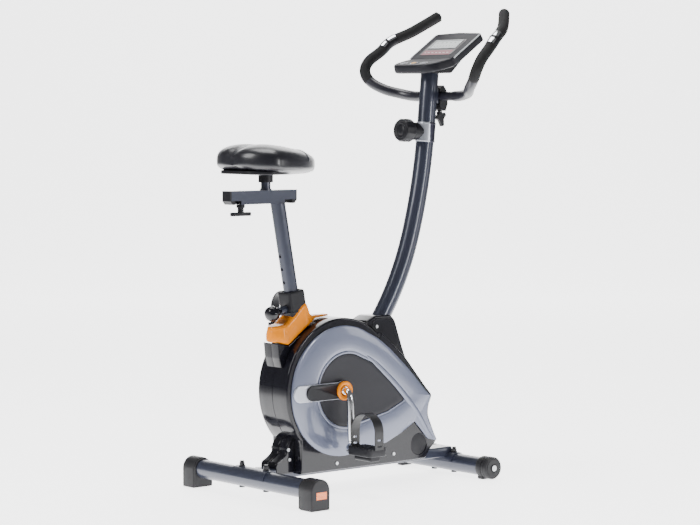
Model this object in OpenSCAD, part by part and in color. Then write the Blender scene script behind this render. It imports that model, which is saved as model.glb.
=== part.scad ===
// Upright magnetic exercise bike.
// Forward is +X, the rider's left is +Y, up is +Z, and the floor is at Z = 0.
// Places along X are counted from the axis of the rear stabiliser; bike() then
// moves everything so that the origin is under the middle of the whole bike.

/* [Stance] */
// Distance between the axes of the two stabilisers
wheelbase = 672; // [660:2:690]
// Diameter of both stabiliser tubes
foot_d = 50; // [46:1:50]
// Length of the rear stabiliser over its end caps
rear_foot_l = 540; // [500:4:580]
// Length of the front stabiliser over its rollers
front_foot_l = 400; // [380:4:440]
// Height of the rear stabiliser's axis
rear_foot_z = 50; // [48:1:52]
// Height of the front stabiliser's axis
front_foot_z = 32; // [30:1:34]

/* [Seat] */
// Angle that the seat post leans back
seat_lean = 10.6; // [9:0.2:12]
// Outer diameter of the sliding seat post
post_d = 38; // [36:1:38]
// Distance between two height holes
hole_pitch = 35; // [30:1:38]
// Length of the level rail under the saddle
rail_l = 210; // [210:2:240]
// Width of the saddle at its back
saddle_w = 250; // [230:5:260]
// Travel of the saddle each way along the rail
rail_travel = 20; // [10:1:20]

/* [Drive] */
// Length of a crank arm between its two axes
crank_l = 150; // [140:1:155]
// Diameter of the flywheel
flywheel_d = 190; // [170:2:200]
// Diameter of the driving pulley
pulley_d = 250; // [220:2:260]
// Diameter of the small pulley on the flywheel
small_pulley_d = 30; // [26:1:36]
// Radius of the round part of the casing
drum_r = 187; // [186:1:188]
// Distance of the casing's side faces from the middle
cover_y = 60; // [58:1:61]

/* [Handlebar] */
// Diameter of the curved handlebar post
main_post_d = 49; // [48:0.5:50]
// Lean of the post where it leaves the casing
lean_low = 35; // [34:0.5:36]
// Lean of the post between its two bends
lean_mid = 17; // [16:0.5:18]
// Lean of the post at the console
lean_top = 5.5; // [5:0.5:6]
// Diameter of the handlebar tube
bar_d = 25; // [22:1:25]
// Diameter of the foam grips
grip_d = 30; // [28:1:31]

/* [Console] */
// Width of the console
console_w = 180; // [170:2:190]
// Slope of the console's screen half
console_slope = 34; // [32:1:36]

/* [Hidden] */
$fn = 64;
mid_x = 342;
run_gap = 0.05;
free_gap = 0.4;

steel = [0.20, 0.22, 0.31];
black = [0.04, 0.04, 0.05];
satin_black = [0.09, 0.09, 0.11];
silver = [0.62, 0.64, 0.70];
chrome = [0.82, 0.83, 0.86];
orange = [1.00, 0.52, 0.04];
grey_blue = [0.40, 0.42, 0.53];

foot_r = foot_d / 2;
tube_wall = 2;
cap_l = 55;
base_w = 60;
base_h = 28;
base_z = 46;
base_top = base_z + base_h;
bolt_head = 3;

post_r = post_d / 2;
post_top = [80, 765];
sleeve_r = 23;
pin_s = -282;
collar_s = -240;
collar_w = 52;
pin_r = 4;
boss_out = 46;
knob_in = 52;
knob_out = 88;
holes_down = 3;
holes_up = 4;
post_end_s = pin_s - holes_down * hole_pitch - 60;

rail_z = 761;
rail_h = 35;
rail_w = 34;
slider_h = 25;
rail_x = -83;
plug_l = 12;
stem_x = 41;
slide_knob_x = -41;
saddle_z = 842;

crank = [243, 267];
drum = [248, 270];
ring_c = [248, 265];
ring_r = 172.5;
axle_r = 10;
shell_r = 20;
shell_y = 26;
pulley_y = 36;
pulley_t = 12;
wall = 3;
heel_y = 32;
pedestal_y = 30;
crank_y = 92;
pedal_y = 122;
pedal_w = 90;
pedal_x = 60;
pedal_h = 24;
spindle_r = 6;
strap_h = 98;

flywheel = [445, 195];
flywheel_t = 20;
fork_y = 46;
fork_t = 4;
brake_pivot = [392, 334];
brake_r0 = flywheel_d / 2 + 8;
brake_angles = [50, 104];

stub_r = 22;
main_r = main_post_d / 2;
main_bore = stub_r + 0.4;
bend_1 = 750;
bend_2 = 1440;
foot_top = [440, 450];
foot_len = 84;
post_bolts = [8, 60];
top_len = 168;

tension_z = 942;
tension_tilt = 4;
tension_knob_r = 32;

clamp = [640, 1040];
bar_r = bar_d / 2;
grip_r = grip_d / 2;
lobe = [619, 84];
hinge_line = [616, 1142];
slab_l = 130;
slab_t = 24;
button_x = 556;
button_pitch = 40;
button_r = 8;

// Half of the handlebar, from its straight middle to the tip of the horn
BAR = [[640, 60, 1040], [640, 96, 1041], [628, 136, 1048], [600, 172, 1060],
       [580, 208, 1082], [576, 226, 1110], [592, 228, 1138], [628, 218, 1166],
       [660, 210, 1194], [714, 181, 1222], [770, 130, 1266]];

// ---- helpers -------------------------------------------------------------

module bike() translate([-mid_x, 0, 0]) children();

module both_sides() {
    children();
    mirror([0, 1, 0]) children();
}

// An outline in X and Z, given thickness from y0 to y1
module slab(y0, y1) translate([0, y1, 0]) rotate([90, 0, 0]) linear_extrude(y1 - y0) children();

// A cylinder along Y
module pin_y(x, z, r, y0, y1) translate([x, y1, z]) rotate([90, 0, 0]) cylinder(r = r, h = y1 - y0);

module ring_y(x, z, r0, r1, y0, y1) difference() {
    pin_y(x, z, r1, y0, y1);
    pin_y(x, z, r0, y0 - 1, y1 + 1);
}

// A rectangle with round corners, exact at every corner
module round_rect(w, h, r) union() {
    square([w - 2 * r, h], center = true);
    square([w, h - 2 * r], center = true);
    for (sx = [-1, 1], sy = [-1, 1])
        translate([sx * (w / 2 - r), sy * (h / 2 - r)]) circle(r = r);
}

function unit(v) = v / norm(v);
function arc(c, r, a0, a1, n) = [for (i = [0:n]) c + r * [cos(a0 + (a1 - a0) * i / n), sin(a0 + (a1 - a0) * i / n)]];

// A closed outline moved inwards by d; the outline runs anticlockwise
function inset(p, d) = [for (i = [0:len(p) - 1])
    let (a = p[(i + len(p) - 1) % len(p)], b = p[i], c = p[(i + 1) % len(p)],
         u = unit(b - a), v = unit(c - b), n = unit([-u[1] - v[1], u[0] + v[0]]))
    b + n * d / max(0.5, n * [-u[1], u[0]])];

// A smooth curve through the points, four steps to each stretch
function spline_at(p, i, t) =
    let (a = p[max(i - 1, 0)], b = p[i], c = p[i + 1], d = p[min(i + 2, len(p) - 1)])
    0.5 * (2 * b + (c - a) * t + (2 * a - 5 * b + 4 * c - d) * t * t + (3 * b - a - 3 * c + d) * t * t * t);
function spline(p, n) = concat(
    [for (i = [0:len(p) - 2], k = [0:n - 1]) spline_at(p, i, k / n)], [p[len(p) - 1]]);

// Rings of a round tube along a path; the rings never turn about the path
tube_ref = [1, 0, -0.6];
function ring_points(path, r, sides) = [for (i = [0:len(path) - 1])
    let (t = unit(path[min(i + 1, len(path) - 1)] - path[max(i - 1, 0)]),
         u = unit(cross(t, tube_ref)), v = cross(t, u))
    for (k = [0:sides - 1]) path[i] + r * (cos(360 * k / sides) * u + sin(360 * k / sides) * v)];
function side_faces(rings, sides, first, flip) = [for (i = [0:rings - 2], k = [0:sides - 1])
    let (a = first + i * sides + k, b = first + i * sides + (k + 1) % sides)
    flip ? [a, b, b + sides, a + sides] : [a, a + sides, b + sides, b]];

module rod(path, r, sides) {
    n = len(path);
    polyhedron(ring_points(path, r, sides), concat(
        side_faces(n, sides, 0, false),
        [[for (k = [0:sides - 1]) k]],
        [[for (k = [sides - 1:-1:0]) (n - 1) * sides + k]]));
}

module sleeve(path, r_in, r_out, sides) {
    n = len(path);
    m = n * sides;
    last = (n - 1) * sides;
    polyhedron(concat(ring_points(path, r_out, sides), ring_points(path, r_in, sides)), concat(
        side_faces(n, sides, 0, false),
        side_faces(n, sides, m, true),
        [for (k = [0:sides - 1]) let (j = (k + 1) % sides) [k, j, m + j, m + k]],
        [for (k = [0:sides - 1]) let (j = (k + 1) % sides) [last + k, m + last + k, m + last + j, last + j]]));
}

// Places along the seat post: s runs up its axis from the rail
module seat_axis(s) translate([post_top[0], 0, post_top[1]]) rotate([0, -seat_lean, 0]) translate([0, 0, s]) children();
module pin_axis(r) seat_axis(pin_s) rotate([0, -90, 0]) translate([0, 0, r]) children();

// The handlebar post: a straight foot, two bends and a straight top
bend_1_c = foot_top + bend_1 * [-cos(lean_low), sin(lean_low)];
mid_point = bend_1_c + bend_1 * [cos(lean_mid), -sin(lean_mid)];
bend_2_c = mid_point + bend_2 * [-cos(lean_mid), sin(lean_mid)];
top_point = bend_2_c + bend_2 * [cos(lean_top), -sin(lean_top)];
module leaning(p, lean) translate([p[0], 0, p[1]]) rotate([0, lean, 0]) children();
function flat_path(p) = [for (q = p) [q[0], 0, q[1]]];
function top_x(z) = top_point[0] + (z - top_point[1]) * tan(lean_top);
stub_foot = foot_top - foot_len * [sin(lean_low), cos(lean_low)];
POST = flat_path(concat(
    [stub_foot],
    arc(bend_1_c, bend_1, -lean_low, -lean_mid, 9),
    [for (q = arc(bend_2_c, bend_2, -lean_mid, -lean_top, 6)) if (q[1] > mid_point[1] + 1) q],
    [top_point + top_len * [sin(lean_top), cos(lean_top)]]));

// Outline of the casing, anticlockwise
CASE = concat(
    [[109, 56], [548, 56], [562, 78], [590, 103], [574, 136], [557, 174], [559, 200], [572, 228],
     [548, 253], [478, 334], [398, 403]],
    arc(drum, drum_r, 52, 222, 46));
// Outlines of the grey side ring, of the fin at its front and of the dark panel inside it
RING = concat(
    [[402, 114], [456, 136], [506, 163], [536, 196], [560, 229], [546, 240], [482, 306], [413, 367], [372, 396]],
    arc(ring_c, ring_r, 60, 278, 46));
FIN = [[500, 166], [552, 110], [582, 103.5], [566, 137], [549, 174], [551, 200], [562, 227], [540, 226]];
function panel_outline(r) = concat(
    [[420, 206], [470, 226], [440, 262], [362, 326]],
    arc([262, 266], r, 58, 298, 36));

// ---- frame ---------------------------------------------------------------

module saddle_plate(x, z, half_w) slab(-half_w, half_w) translate([x, z]) difference() {
    circle(r = foot_r + 3.2);
    circle(r = foot_r + 0.1);
    translate([-60, -100]) square([120, 100 + 4]);
}

module base_tube() color(steel) bike() {
    difference() {
        translate([foot_r, 0, base_z + base_h / 2]) rotate([90, 0, 90])
            linear_extrude(wheelbase - foot_r) difference() {
                round_rect(base_w, base_h, 5);
                round_rect(base_w - 2 * tube_wall, base_h - 2 * tube_wall, 3);
            }
        pin_y(0, rear_foot_z, foot_r + 0.6, -60, 60);
        pin_y(wheelbase, front_foot_z, foot_r + 0.6, -60, 60);
    }
    difference() {
        union() {
            saddle_plate(0, rear_foot_z, 70);
            saddle_plate(wheelbase, front_foot_z, 55);
        }
        for (s = [-1, 1]) {
            translate([0, s * 50, rear_foot_z]) cylinder(r = 4.5, h = 60);
            translate([wheelbase, s * 40, front_foot_z]) cylinder(r = 4.5, h = 60);
        }
    }
    // Fork that carries the flywheel's axle
    difference() {
        union() {
            translate([flywheel[0] - 22, -25, base_top]) cube([44, fork_y + 29, fork_t]);
            for (y = [-25, fork_y]) slab(y, y + fork_t) polygon([
                [flywheel[0] - 22, base_top], [flywheel[0] + 22, base_top],
                [flywheel[0] + 14, flywheel[1] + 16], [flywheel[0] - 14, flywheel[1] + 16]]);
        }
        pin_y(flywheel[0], flywheel[1], 6.05, -60, 80);
    }
}

module stabiliser(x, z, half_l, bolts) difference() {
    pin_y(x, z, foot_r, -half_l, half_l);
    pin_y(x, z, foot_r - tube_wall, -half_l - 1, half_l + 1);
    for (s = [-1, 1]) translate([x, s * bolts, z - 60]) cylinder(r = 4.5, h = 120);
}

module rear_stabiliser() color(steel) bike()
    stabiliser(0, rear_foot_z, rear_foot_l / 2 - 6, 50);

module front_stabiliser() color(steel) bike()
    stabiliser(wheelbase, front_foot_z, front_foot_l / 2 - 30, 40);

// A bolt up through a stabiliser, with a domed nut on top
module foot_bolt(x, y, z, top) translate([x, y, 0]) {
    translate([0, 0, z - foot_r - bolt_head]) cylinder(r = 8, h = bolt_head);
    translate([0, 0, z - foot_r]) cylinder(r = 4, h = 2 * foot_r + 8);
    translate([0, 0, top]) cylinder(r = 9, h = 1.6);
    translate([0, 0, top + 1.6]) cylinder(r = 7.4, h = 7, $fn = 6);
    translate([0, 0, top + 8.6]) cylinder(r = 5.5, h = 5);
}

module frame_bolts() color(satin_black) bike() {
    for (s = [-1, 1]) {
        foot_bolt(0, s * 50, rear_foot_z, rear_foot_z + foot_r + 3.2);
        foot_bolt(wheelbase, s * 40, front_foot_z, front_foot_z + foot_r + 3.2);
    }
    // Bolts that hold the handlebar post on its stub
    for (d = post_bolts) leaning(stub_foot, lean_low) translate([0, 0, d]) {
        pin_y(0, 0, 4, -main_r - 5, main_r + 5);
        both_sides() pin_y(0, 0, 7, main_r + 0.2, main_r + 5.2, $fn = 6);
    }
}

module d_outline() union() {
    translate([0, rear_foot_z]) circle(r = 30.5);
    translate([-30, 0]) square([60, rear_foot_z]);
}

module rear_end_caps() color(black) bike() both_sides() difference() {
    slab(rear_foot_l / 2 - cap_l, rear_foot_l / 2) d_outline();
    pin_y(0, rear_foot_z, foot_r + 0.1, rear_foot_l / 2 - cap_l - 1, rear_foot_l / 2 - 5.9);
    translate([-14, rear_foot_l / 2 - 3, 29]) cube([34, 10, 19]);
}

module reflectors() color(orange) bike() both_sides()
    translate([-13.8, rear_foot_l / 2 - 2.9, 29.2]) cube([33.6, 2.6, 18.6]);

roller_y = front_foot_l / 2 - 26;

module front_end_caps() color(black) bike() both_sides() difference() {
    union() {
        pin_y(wheelbase, front_foot_z, 30, roller_y - 20, roller_y - 0.5);
        pin_y(wheelbase, front_foot_z, 9, roller_y - 0.6, roller_y);
        translate([wheelbase - 20, roller_y - 20, 0]) cube([40, 19.5, front_foot_z]);
    }
    pin_y(wheelbase, front_foot_z, foot_r + 0.1, roller_y - 21, roller_y - 3.9);
    pin_y(wheelbase, front_foot_z, 5, roller_y - 21, roller_y + 1);
}

// A transport roller: its axle screw stays with the cap
module roller() union() {
    ring_y(wheelbase, front_foot_z, 5 + run_gap, 24, roller_y + free_gap, roller_y + 24);
    ring_y(wheelbase, front_foot_z, 23.5, 30.5, roller_y + free_gap, roller_y + 22);
}

module right_roller() color(black) bike() mirror([0, 1, 0]) roller();
module left_roller() color(black) bike() roller();

module roller_axle() {
    pin_y(wheelbase, front_foot_z, 5, roller_y - 3.8, roller_y + 24.4);
    pin_y(wheelbase, front_foot_z, 8, roller_y + 24.4, roller_y + 26);
}

module seat_tube() color(steel) bike() {
    difference() {
        seat_axis(-680) cylinder(r = sleeve_r, h = 680 + collar_s - 3);
        seat_axis(-700) cylinder(r = sleeve_r - tube_wall, h = 700);
        translate([0, -60, -40]) cube([400, 120, base_top + 40]);
        pin_axis(10) cylinder(r = pin_r + run_gap, h = 30);
    }
    difference() {
        pin_axis(sleeve_r - 4) cylinder(r = 11, h = boss_out - sleeve_r + 4);
        seat_axis(-400) cylinder(r = sleeve_r - 0.5, h = 300);
        pin_axis(10) cylinder(r = pin_r + run_gap, h = 60);
    }
}

module head_stub() color(steel) bike() {
    difference() {
        leaning(foot_top, lean_low) translate([0, 0, -460]) cylinder(r = stub_r, h = 440);
        leaning(foot_top, lean_low) translate([0, 0, -480]) cylinder(r = stub_r - tube_wall, h = 500);
        seat_axis(-720) cylinder(r = sleeve_r, h = 700);
        translate([0, -60, -40]) cube([400, 120, base_top + 40]);
        seat_side_cut();
        for (d = post_bolts) leaning(stub_foot, lean_low) translate([0, 0, d]) pin_y(0, 0, 4.05, -40, 40);
        cable_port();
    }
    // Welded bracket and stud for the brake arm
    difference() {
        union() {
            slab(-4, 4) polygon([[366, 322], [386, 322], [402, 326], [402, 344], [376, 350]]);
            pin_y(brake_pivot[0], brake_pivot[1], 5, -16, 16);
        }
        leaning(foot_top, lean_low) translate([0, 0, -480]) cylinder(r = stub_r - 0.5, h = 500);
    }
}

// Everything behind the seat tube's axis
module seat_side_cut() seat_axis(-760) translate([-400, -60, 0]) cube([400, 120, 760]);

// Hole in the front of the stub where the brake cable leaves it
module cable_port() translate([402, 0, 372]) rotate([0, 143, 0]) cylinder(r = 6, h = 24);

module bottom_bracket() color(steel) bike() {
    ring_y(crank[0], crank[1], shell_r - 3, shell_r, -shell_y, shell_y);
    difference() {
        for (y = [-15, 11]) slab(y, y + 4) polygon([
            [172, 322], [164, 236], [186, 212], [300, 224], [338, 306], [262, 300]]);
        pin_y(crank[0], crank[1], shell_r - 1, -60, 60);
        seat_axis(-720) cylinder(r = sleeve_r + 0.02, h = 700);
        leaning(foot_top, lean_low) translate([0, 0, -480]) cylinder(r = stub_r + 0.02, h = 500);
        seat_side_cut();
        leaning(foot_top, lean_low) translate([0, -60, -480]) cube([200, 120, 500]);
    }
}

module crank_bearings() color(silver) bike() both_sides()
    ring_y(crank[0], crank[1], axle_r + run_gap, shell_r - 3, shell_y - 12, shell_y);

module flywheel_axle() color(silver) bike() {
    pin_y(flywheel[0], flywheel[1], 6, -34, fork_y + 10);
    pin_y(flywheel[0], flywheel[1], 10, -32, -25, $fn = 6);
    pin_y(flywheel[0], flywheel[1], 10, fork_y + fork_t, fork_y + fork_t + 5, $fn = 6);
}

module post_bushing() color(black) bike() seat_axis(0) difference() {
    union() {
        translate([0, 0, collar_s - 70]) cylinder(r = sleeve_r - tube_wall - 0.05, h = 70);
        translate([0, 0, collar_s - 3]) cylinder(r = sleeve_r, h = 3);
    }
    translate([0, 0, collar_s - 71]) cylinder(r = post_r + 2 * run_gap, h = 80);
    translate([0, 0, pin_s]) rotate([0, -90, 0]) cylinder(r = pin_r + 0.5, h = 40);
}

// ---- casing --------------------------------------------------------------

module tube_ways() {
    seat_axis(-720) cylinder(r = sleeve_r + 1, h = 720);
    leaning(foot_top, lean_low) translate([0, 0, -200]) cylinder(r = main_r + 1, h = 260);
    translate([0, -base_w / 2 - 1, base_z - 10]) cube([700, base_w + 2, base_h + 11]);
    translate([60, -18, 440]) cube([170, 36, 40]);
}

// One half of the casing: a side wall and the rim that meets the other half
module cover_half() difference() {
    union() {
        difference() {
            slab(0.2, cover_y) polygon(CASE);
            slab(-1, cover_y - wall) polygon(inset(CASE, wall));
        }
        rear_foot_half();
        pedestal_half();
    }
    tube_ways();
    pin_y(crank[0], crank[1], 16, 0, cover_y + 10);
    pin_y(522, 98, 30, cover_y - 1.6, cover_y + 5);
    pin_y(0, rear_foot_z, foot_r + 3.6, 0, 90);
}

// Flared foot that hides the joint with the rear stabiliser
module rear_foot_half() difference() {
    slab(0.2, heel_y) polygon([[109.5, 56], [109.5, 158], [98, 150], [84, 132], [82, 110], [66, 97], [49, 88], [46, 78], [50, 56]]);
    slab(-1, heel_y - 1) polygon([[110, 52], [110, 150], [100, 144], [88, 130], [86, 107], [69, 93], [54, 85], [51, 77], [54, 52]]);
}

// Raised seat under the seat tube's cover
PEDESTAL = [[56, 400], [60, 360], [68, 335], [78, 338], [100, 372], [150, 419], [198, 449], [196, 455], [140, 423], [92, 391], [76, 395]];
module pedestal_half() difference() {
    slab(0.2, pedestal_y) polygon(PEDESTAL);
    slab(-1, pedestal_y - wall) polygon([[60, 396], [64, 362], [72, 340], [100, 376], [150, 422], [150, 425], [140, 419], [93, 387], [75, 391]]);
}

module right_cover() color(black) bike() mirror([0, 1, 0]) cover_half();
module left_cover() color(black) bike() cover_half();

module side_rings() color(grey_blue) bike() both_sides() difference() {
    union() {
        slab(cover_y + 0.05, cover_y + 5) polygon(RING);
        slab(cover_y + 0.05, cover_y + 5) polygon(FIN);
        slab(cover_y + 4.9, cover_y + 8) polygon(inset(RING, 6));
    }
    slab(cover_y - 1, cover_y + 20) polygon(panel_outline(96));
}

module side_panels() color(satin_black) bike() both_sides() difference() {
    slab(cover_y + 0.05, cover_y + 5) polygon(panel_outline(95.6));
    pin_y(crank[0], crank[1], 16, 0, cover_y + 10);
}

module bar_outline(h) union() {
    translate([crank[0] - 142, crank[1] - h / 2]) square([142, h]);
    translate([crank[0] - 142, crank[1]]) circle(d = h);
}

module hub_bars() color(black) bike() both_sides() difference() {
    union() {
        slab(cover_y + 5.05, cover_y + 15) bar_outline(44);
        pin_y(crank[0], crank[1], 27, cover_y + 5.05, cover_y + 12);
    }
    slab(cover_y, cover_y + 8.1) difference() {
        polygon(inset(RING, -1));
        polygon(panel_outline(96));
    }
    pin_y(crank[0], crank[1], 16, 0, cover_y + 30);
    pin_y(crank[0], crank[1], 26, cover_y + 12, cover_y + 30);
}

module hub_rings() color(orange) bike() both_sides() {
    ring_y(crank[0], crank[1], 13, 25.5, cover_y + 12.05, cover_y + 22);
    ring_y(crank[0], crank[1], 13, 15.9, cover_y + 1, cover_y + 12.1);
}

module seat_collar() color(black) bike() difference() {
    seat_axis(-330) linear_extrude(330 + collar_s + 3) round_rect(collar_w, collar_w, 5);
    seat_axis(-340) cylinder(r = sleeve_r + 0.1, h = 340);
    pin_axis(5) cylinder(r = 11.2, h = 60);
}

module seat_tube_cover() color(orange) bike() difference() {
    intersection() {
        slab(-46, 46) polygon([
            [49, 403], [76, 396], [92, 392], [140, 424], [196, 456], [240, 460], [240, 467], [196, 463],
            [170, 462], [160, 478], [156, 504], [144, 502], [106, 462], [84, 446], [54, 442], [48, 430]]);
        linear_extrude(600) union() {
            translate([84, 0]) circle(r = 34);
            polygon([[84, -34], [150, -33], [172, -26], [190, -14], [241, -12],
                     [241, 12], [190, 14], [172, 26], [150, 33], [84, 34]]);
        }
    }
    seat_axis(-340) linear_extrude(380) round_rect(collar_w + 0.4, collar_w + 0.4, 5);
    seat_axis(-420) cylinder(r = sleeve_r + 0.5, h = 100);
    slab(-70, 70) polygon(concat(arc(drum, drum_r + 0.3, 88, 150, 30), [[99, 330], [248, 330]]));
}

module front_shroud() color(black) bike() difference() {
    slab(-34, 34) polygon([[352, 432], [356, 439], [388, 453], [446, 452], [460, 438], [486, 366], [504, 322],
        [508, 302], [478, 336], [398, 405]]);
    slab(-31, 31) polygon([[366, 430], [392, 446], [440, 446], [454, 434], [480, 364], [492, 334],
        [478, 342], [400, 409]]);
    leaning(foot_top, lean_low) translate([0, 0, -200]) cylinder(r = main_r + 0.4, h = 240);
}

module screw_head(x, z, y) pin_y(x, z, 4.5, y, y + 2, $fn = 32);

// The casing's own screws, and the same screws under the console
module cover_screws() color(silver) bike() {
    both_sides() {
        screw_head(88, 120, heel_y + 0.05);
        screw_head(92, 94, heel_y + 0.05);
        screw_head(392, 424, 34.05);
        screw_head(230, 74, cover_y + 0.05);
        screw_head(430, 80, cover_y + 0.05);
    }
    both_sides() roller_axle();
}

// ---- handlebar post and brake --------------------------------------------

module handlebar_post() color(steel) bike() difference() {
    union() {
        sleeve(POST, main_bore, main_r, 28);
        // Plate and saddle for the handlebar's clamp
        difference() {
            translate([clamp[0] - 24, -20, clamp[1] - 20]) cube([14, 40, 40]);
            leaning(top_point, lean_top) translate([0, 0, -10]) cylinder(r = main_bore + 1, h = top_len + 20);
        }
    }
    pin_y(clamp[0], clamp[1], bar_r + 0.1, -60, 60);
    for (d = post_bolts) leaning(stub_foot, lean_low) translate([0, 0, d]) pin_y(0, 0, 4.05, -40, 40);
    tension_place(0) cylinder(r = 7, h = 60);
}

module tension_place(r) translate([top_x(tension_z), 0, tension_z]) rotate([0, tension_tilt - 90, 0])
    translate([0, 0, r]) children();

module post_band() color(silver) bike() difference() {
    leaning([top_x(tension_z), tension_z], lean_top) translate([0, 0, -27]) cylinder(r = main_r + 2.4, h = 54);
    leaning([top_x(tension_z), tension_z], lean_top) translate([0, 0, -40]) cylinder(r = main_r + 0.7, h = 80);
    tension_place(0) cylinder(r = 17, h = 60);
}

module tension_housing() color(black) bike() difference() {
    union() {
        tension_place(main_r - 4) cylinder(r = 16.8, h = 38);
        tension_place(main_r + 8) cylinder(r = 24, h = 26);
        tension_place(main_r + 34) cylinder(r = 6, h = 30);
    }
    leaning([top_x(tension_z), tension_z], lean_top) translate([0, 0, -40]) cylinder(r = main_r + 0.7, h = 80);
}

module tension_knob() color(black) bike() difference() {
    union() {
        tension_place(main_r + 34.4) cylinder(r = tension_knob_r - 3, h = 34);
        for (a = [0:30:359]) tension_place(main_r + 38) rotate([0, 0, a])
            translate([tension_knob_r - 4, 0, 0]) cylinder(r = 5, h = 28, $fn = 24);
    }
    tension_place(main_r + 34) cylinder(r = 6 + run_gap, h = 30.4);
}

// Route of the brake cable: down inside the post and the stub, then out to the arm
CABLE = [[599, 0, 938], [597, 0, 916], [588, 0, 852], [570, 0, 764], [548, 0, 682], [520, 0, 596], [484, 0, 516],
         [450, 0, 449], [422, 0, 408], [407, 0, 386], [405, 0, 376], [407, 0, 367], [413, 0, 359], [424, 0, 348],
         [431, 0, 334], [434, 0, 320]];

module tension_cable() color(satin_black) bike() rod(spline(CABLE, 3), 2.5, 8);

module brake_arm() color(steel) bike() difference() {
    union() {
        slab(-14, 14) polygon(concat(
            arc(flywheel, brake_r0 + 8, brake_angles[0], brake_angles[1], 18),
            arc(flywheel, brake_r0 + 3, brake_angles[1], brake_angles[0], 18)));
        for (y = [-14, 5]) slab(y, y + 9) polygon([
            [brake_pivot[0] - 8, brake_pivot[1] - 8], [brake_pivot[0] + 30, brake_pivot[1] - 30],
            [brake_pivot[0] + 50, brake_pivot[1] - 29], [brake_pivot[0] + 6, brake_pivot[1] + 9]]);
        for (y = [-14, 10]) slab(y, y + 4) polygon([[422, 296], [448, 300], [442, 313], [428, 313]]);
        for (a = [56:11:100]) translate([flywheel[0], 0, flywheel[1]]) rotate([0, 90 - a, 0])
            translate([0, 0, brake_r0]) translate([-8, -12, 0]) cube([16, 24, 4]);
    }
    pin_y(brake_pivot[0], brake_pivot[1], 5 + run_gap, -40, 40);
    slab(-4.6, 4.6) translate(brake_pivot) circle(r = 15);
    pin_y(flywheel[0], flywheel[1], flywheel_d / 2 + 1, -40, 40);
}

// ---- crank, pedals and flywheel ------------------------------------------

module crank_axle() color(silver) bike() pin_y(crank[0], crank[1], axle_r, -74, 74);

module drive_pulley() color(black) bike() difference() {
    union() {
        ring_y(crank[0], crank[1], pulley_d / 2 - 14, pulley_d / 2, pulley_y - pulley_t / 2, pulley_y + pulley_t / 2);
        pin_y(crank[0], crank[1], 24, pulley_y - pulley_t / 2, pulley_y + pulley_t / 2);
        pin_y(crank[0], crank[1], pulley_d / 2 - 10, pulley_y - 2, pulley_y + 2);
    }
    pin_y(crank[0], crank[1], axle_r, 0, 80);
    for (a = [30:60:359]) translate([crank[0], 0, crank[1]]) rotate([0, a, 0]) translate([70, 0, 0])
        pin_y(0, 0, 20, 0, 80);
}

// A crank arm that hangs down from the axle's end, on the left
module crank_arm() difference() {
    union() {
        rod([[crank[0], 74, crank[1]], [crank[0], crank_y - 8, crank[1]], [crank[0], crank_y - 2, crank[1] - 2],
             [crank[0], crank_y + 3, crank[1] - 8], [crank[0], crank_y + 6, crank[1] - 18],
             [crank[0], crank_y + 12, crank[1] - crank_l + 12]], 8.5, 16);
        pin_y(crank[0], crank[1], 12, 70, 80);
        pin_y(crank[0], crank[1] - crank_l, 13, crank_y + 3, crank_y + 21);
        pin_y(crank[0], crank[1] - crank_l, 9, crank_y + 20.9, crank_y + 25);
        pin_y(crank[0], crank[1] - crank_l, spindle_r, crank_y + 24.9, pedal_y + pedal_w - 4);
    }
    pin_y(crank[0], crank[1], axle_r, 0, 74.01);
}

module right_crank() color(chrome) bike() mirror([0, 1, 0]) crank_arm();
module left_crank() color(chrome) bike() translate([0, 0, 2 * crank[1]]) mirror([0, 0, 1]) crank_arm();

// A pedal in place at the bottom of the left side; the tread hangs level
module pedal_body() difference() {
    union() {
        translate([crank[0], pedal_y, crank[1] - crank_l]) rotate([-90, 0, 0]) linear_extrude(pedal_w)
            round_rect(pedal_x, pedal_h, 6);
        translate([crank[0], pedal_y + 12, crank[1] - crank_l - pedal_h / 2]) rotate([-90, 0, 0])
            linear_extrude(pedal_w - 24) round_rect(34, 26, 8);
    }
    pin_y(crank[0], crank[1] - crank_l, spindle_r + run_gap, 0, pedal_y + pedal_w - 3);
    for (s = [-1, 1], k = [0:2]) translate([crank[0] + s * 20 - 6, pedal_y + 10 + k * 25, 0])
        cube([12, 18, 300]);
}

// The strap: two slotted legs on the pedal's ends and an arch over the foot
strap_y0 = pedal_y - 4;
strap_y1 = pedal_y + pedal_w + 4;
module pedal_strap() {
    z0 = crank[1] - crank_l + spindle_r + 1;
    zs = crank[1] - crank_l + strap_h - 47;
    ym = (strap_y0 + strap_y1) / 2;
    ro = (strap_y1 - strap_y0) / 2;
    translate([crank[0] + 15, 0, 0]) rotate([90, 0, -90]) linear_extrude(30) translate([-ym, 0]) difference() {
            union() {
                translate([0, zs]) circle(r = ro);
                translate([-ro, z0]) square([2 * ro, zs - z0]);
            }
            translate([0, zs]) circle(r = ro - 3.9);
            translate([-ro + 3.9, zs - ro - 1]) square([2 * ro - 7.8, ro + 1]);
        }
}

module right_pedal() color(black) bike() mirror([0, 1, 0]) pedal_body();
module left_pedal() color(black) bike() translate([0, 0, 2 * crank_l]) pedal_body();
module right_strap() color(satin_black) bike() mirror([0, 1, 0]) pedal_strap();
module left_strap() color(satin_black) bike() translate([0, 0, 2 * crank_l]) pedal_strap();

small_r = small_pulley_d / 2;

module flywheel() color(silver) bike() difference() {
    union() {
        ring_y(flywheel[0], flywheel[1], flywheel_d / 2 - 22, flywheel_d / 2, -flywheel_t / 2, flywheel_t / 2);
        pin_y(flywheel[0], flywheel[1], flywheel_d / 2 - 20, -4, 4);
        pin_y(flywheel[0], flywheel[1], 13, -20, pulley_y + 8);
        pin_y(flywheel[0], flywheel[1], small_r, pulley_y - 6, pulley_y + 6);
    }
    pin_y(flywheel[0], flywheel[1], 6 + run_gap, -60, 80);
}

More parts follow.
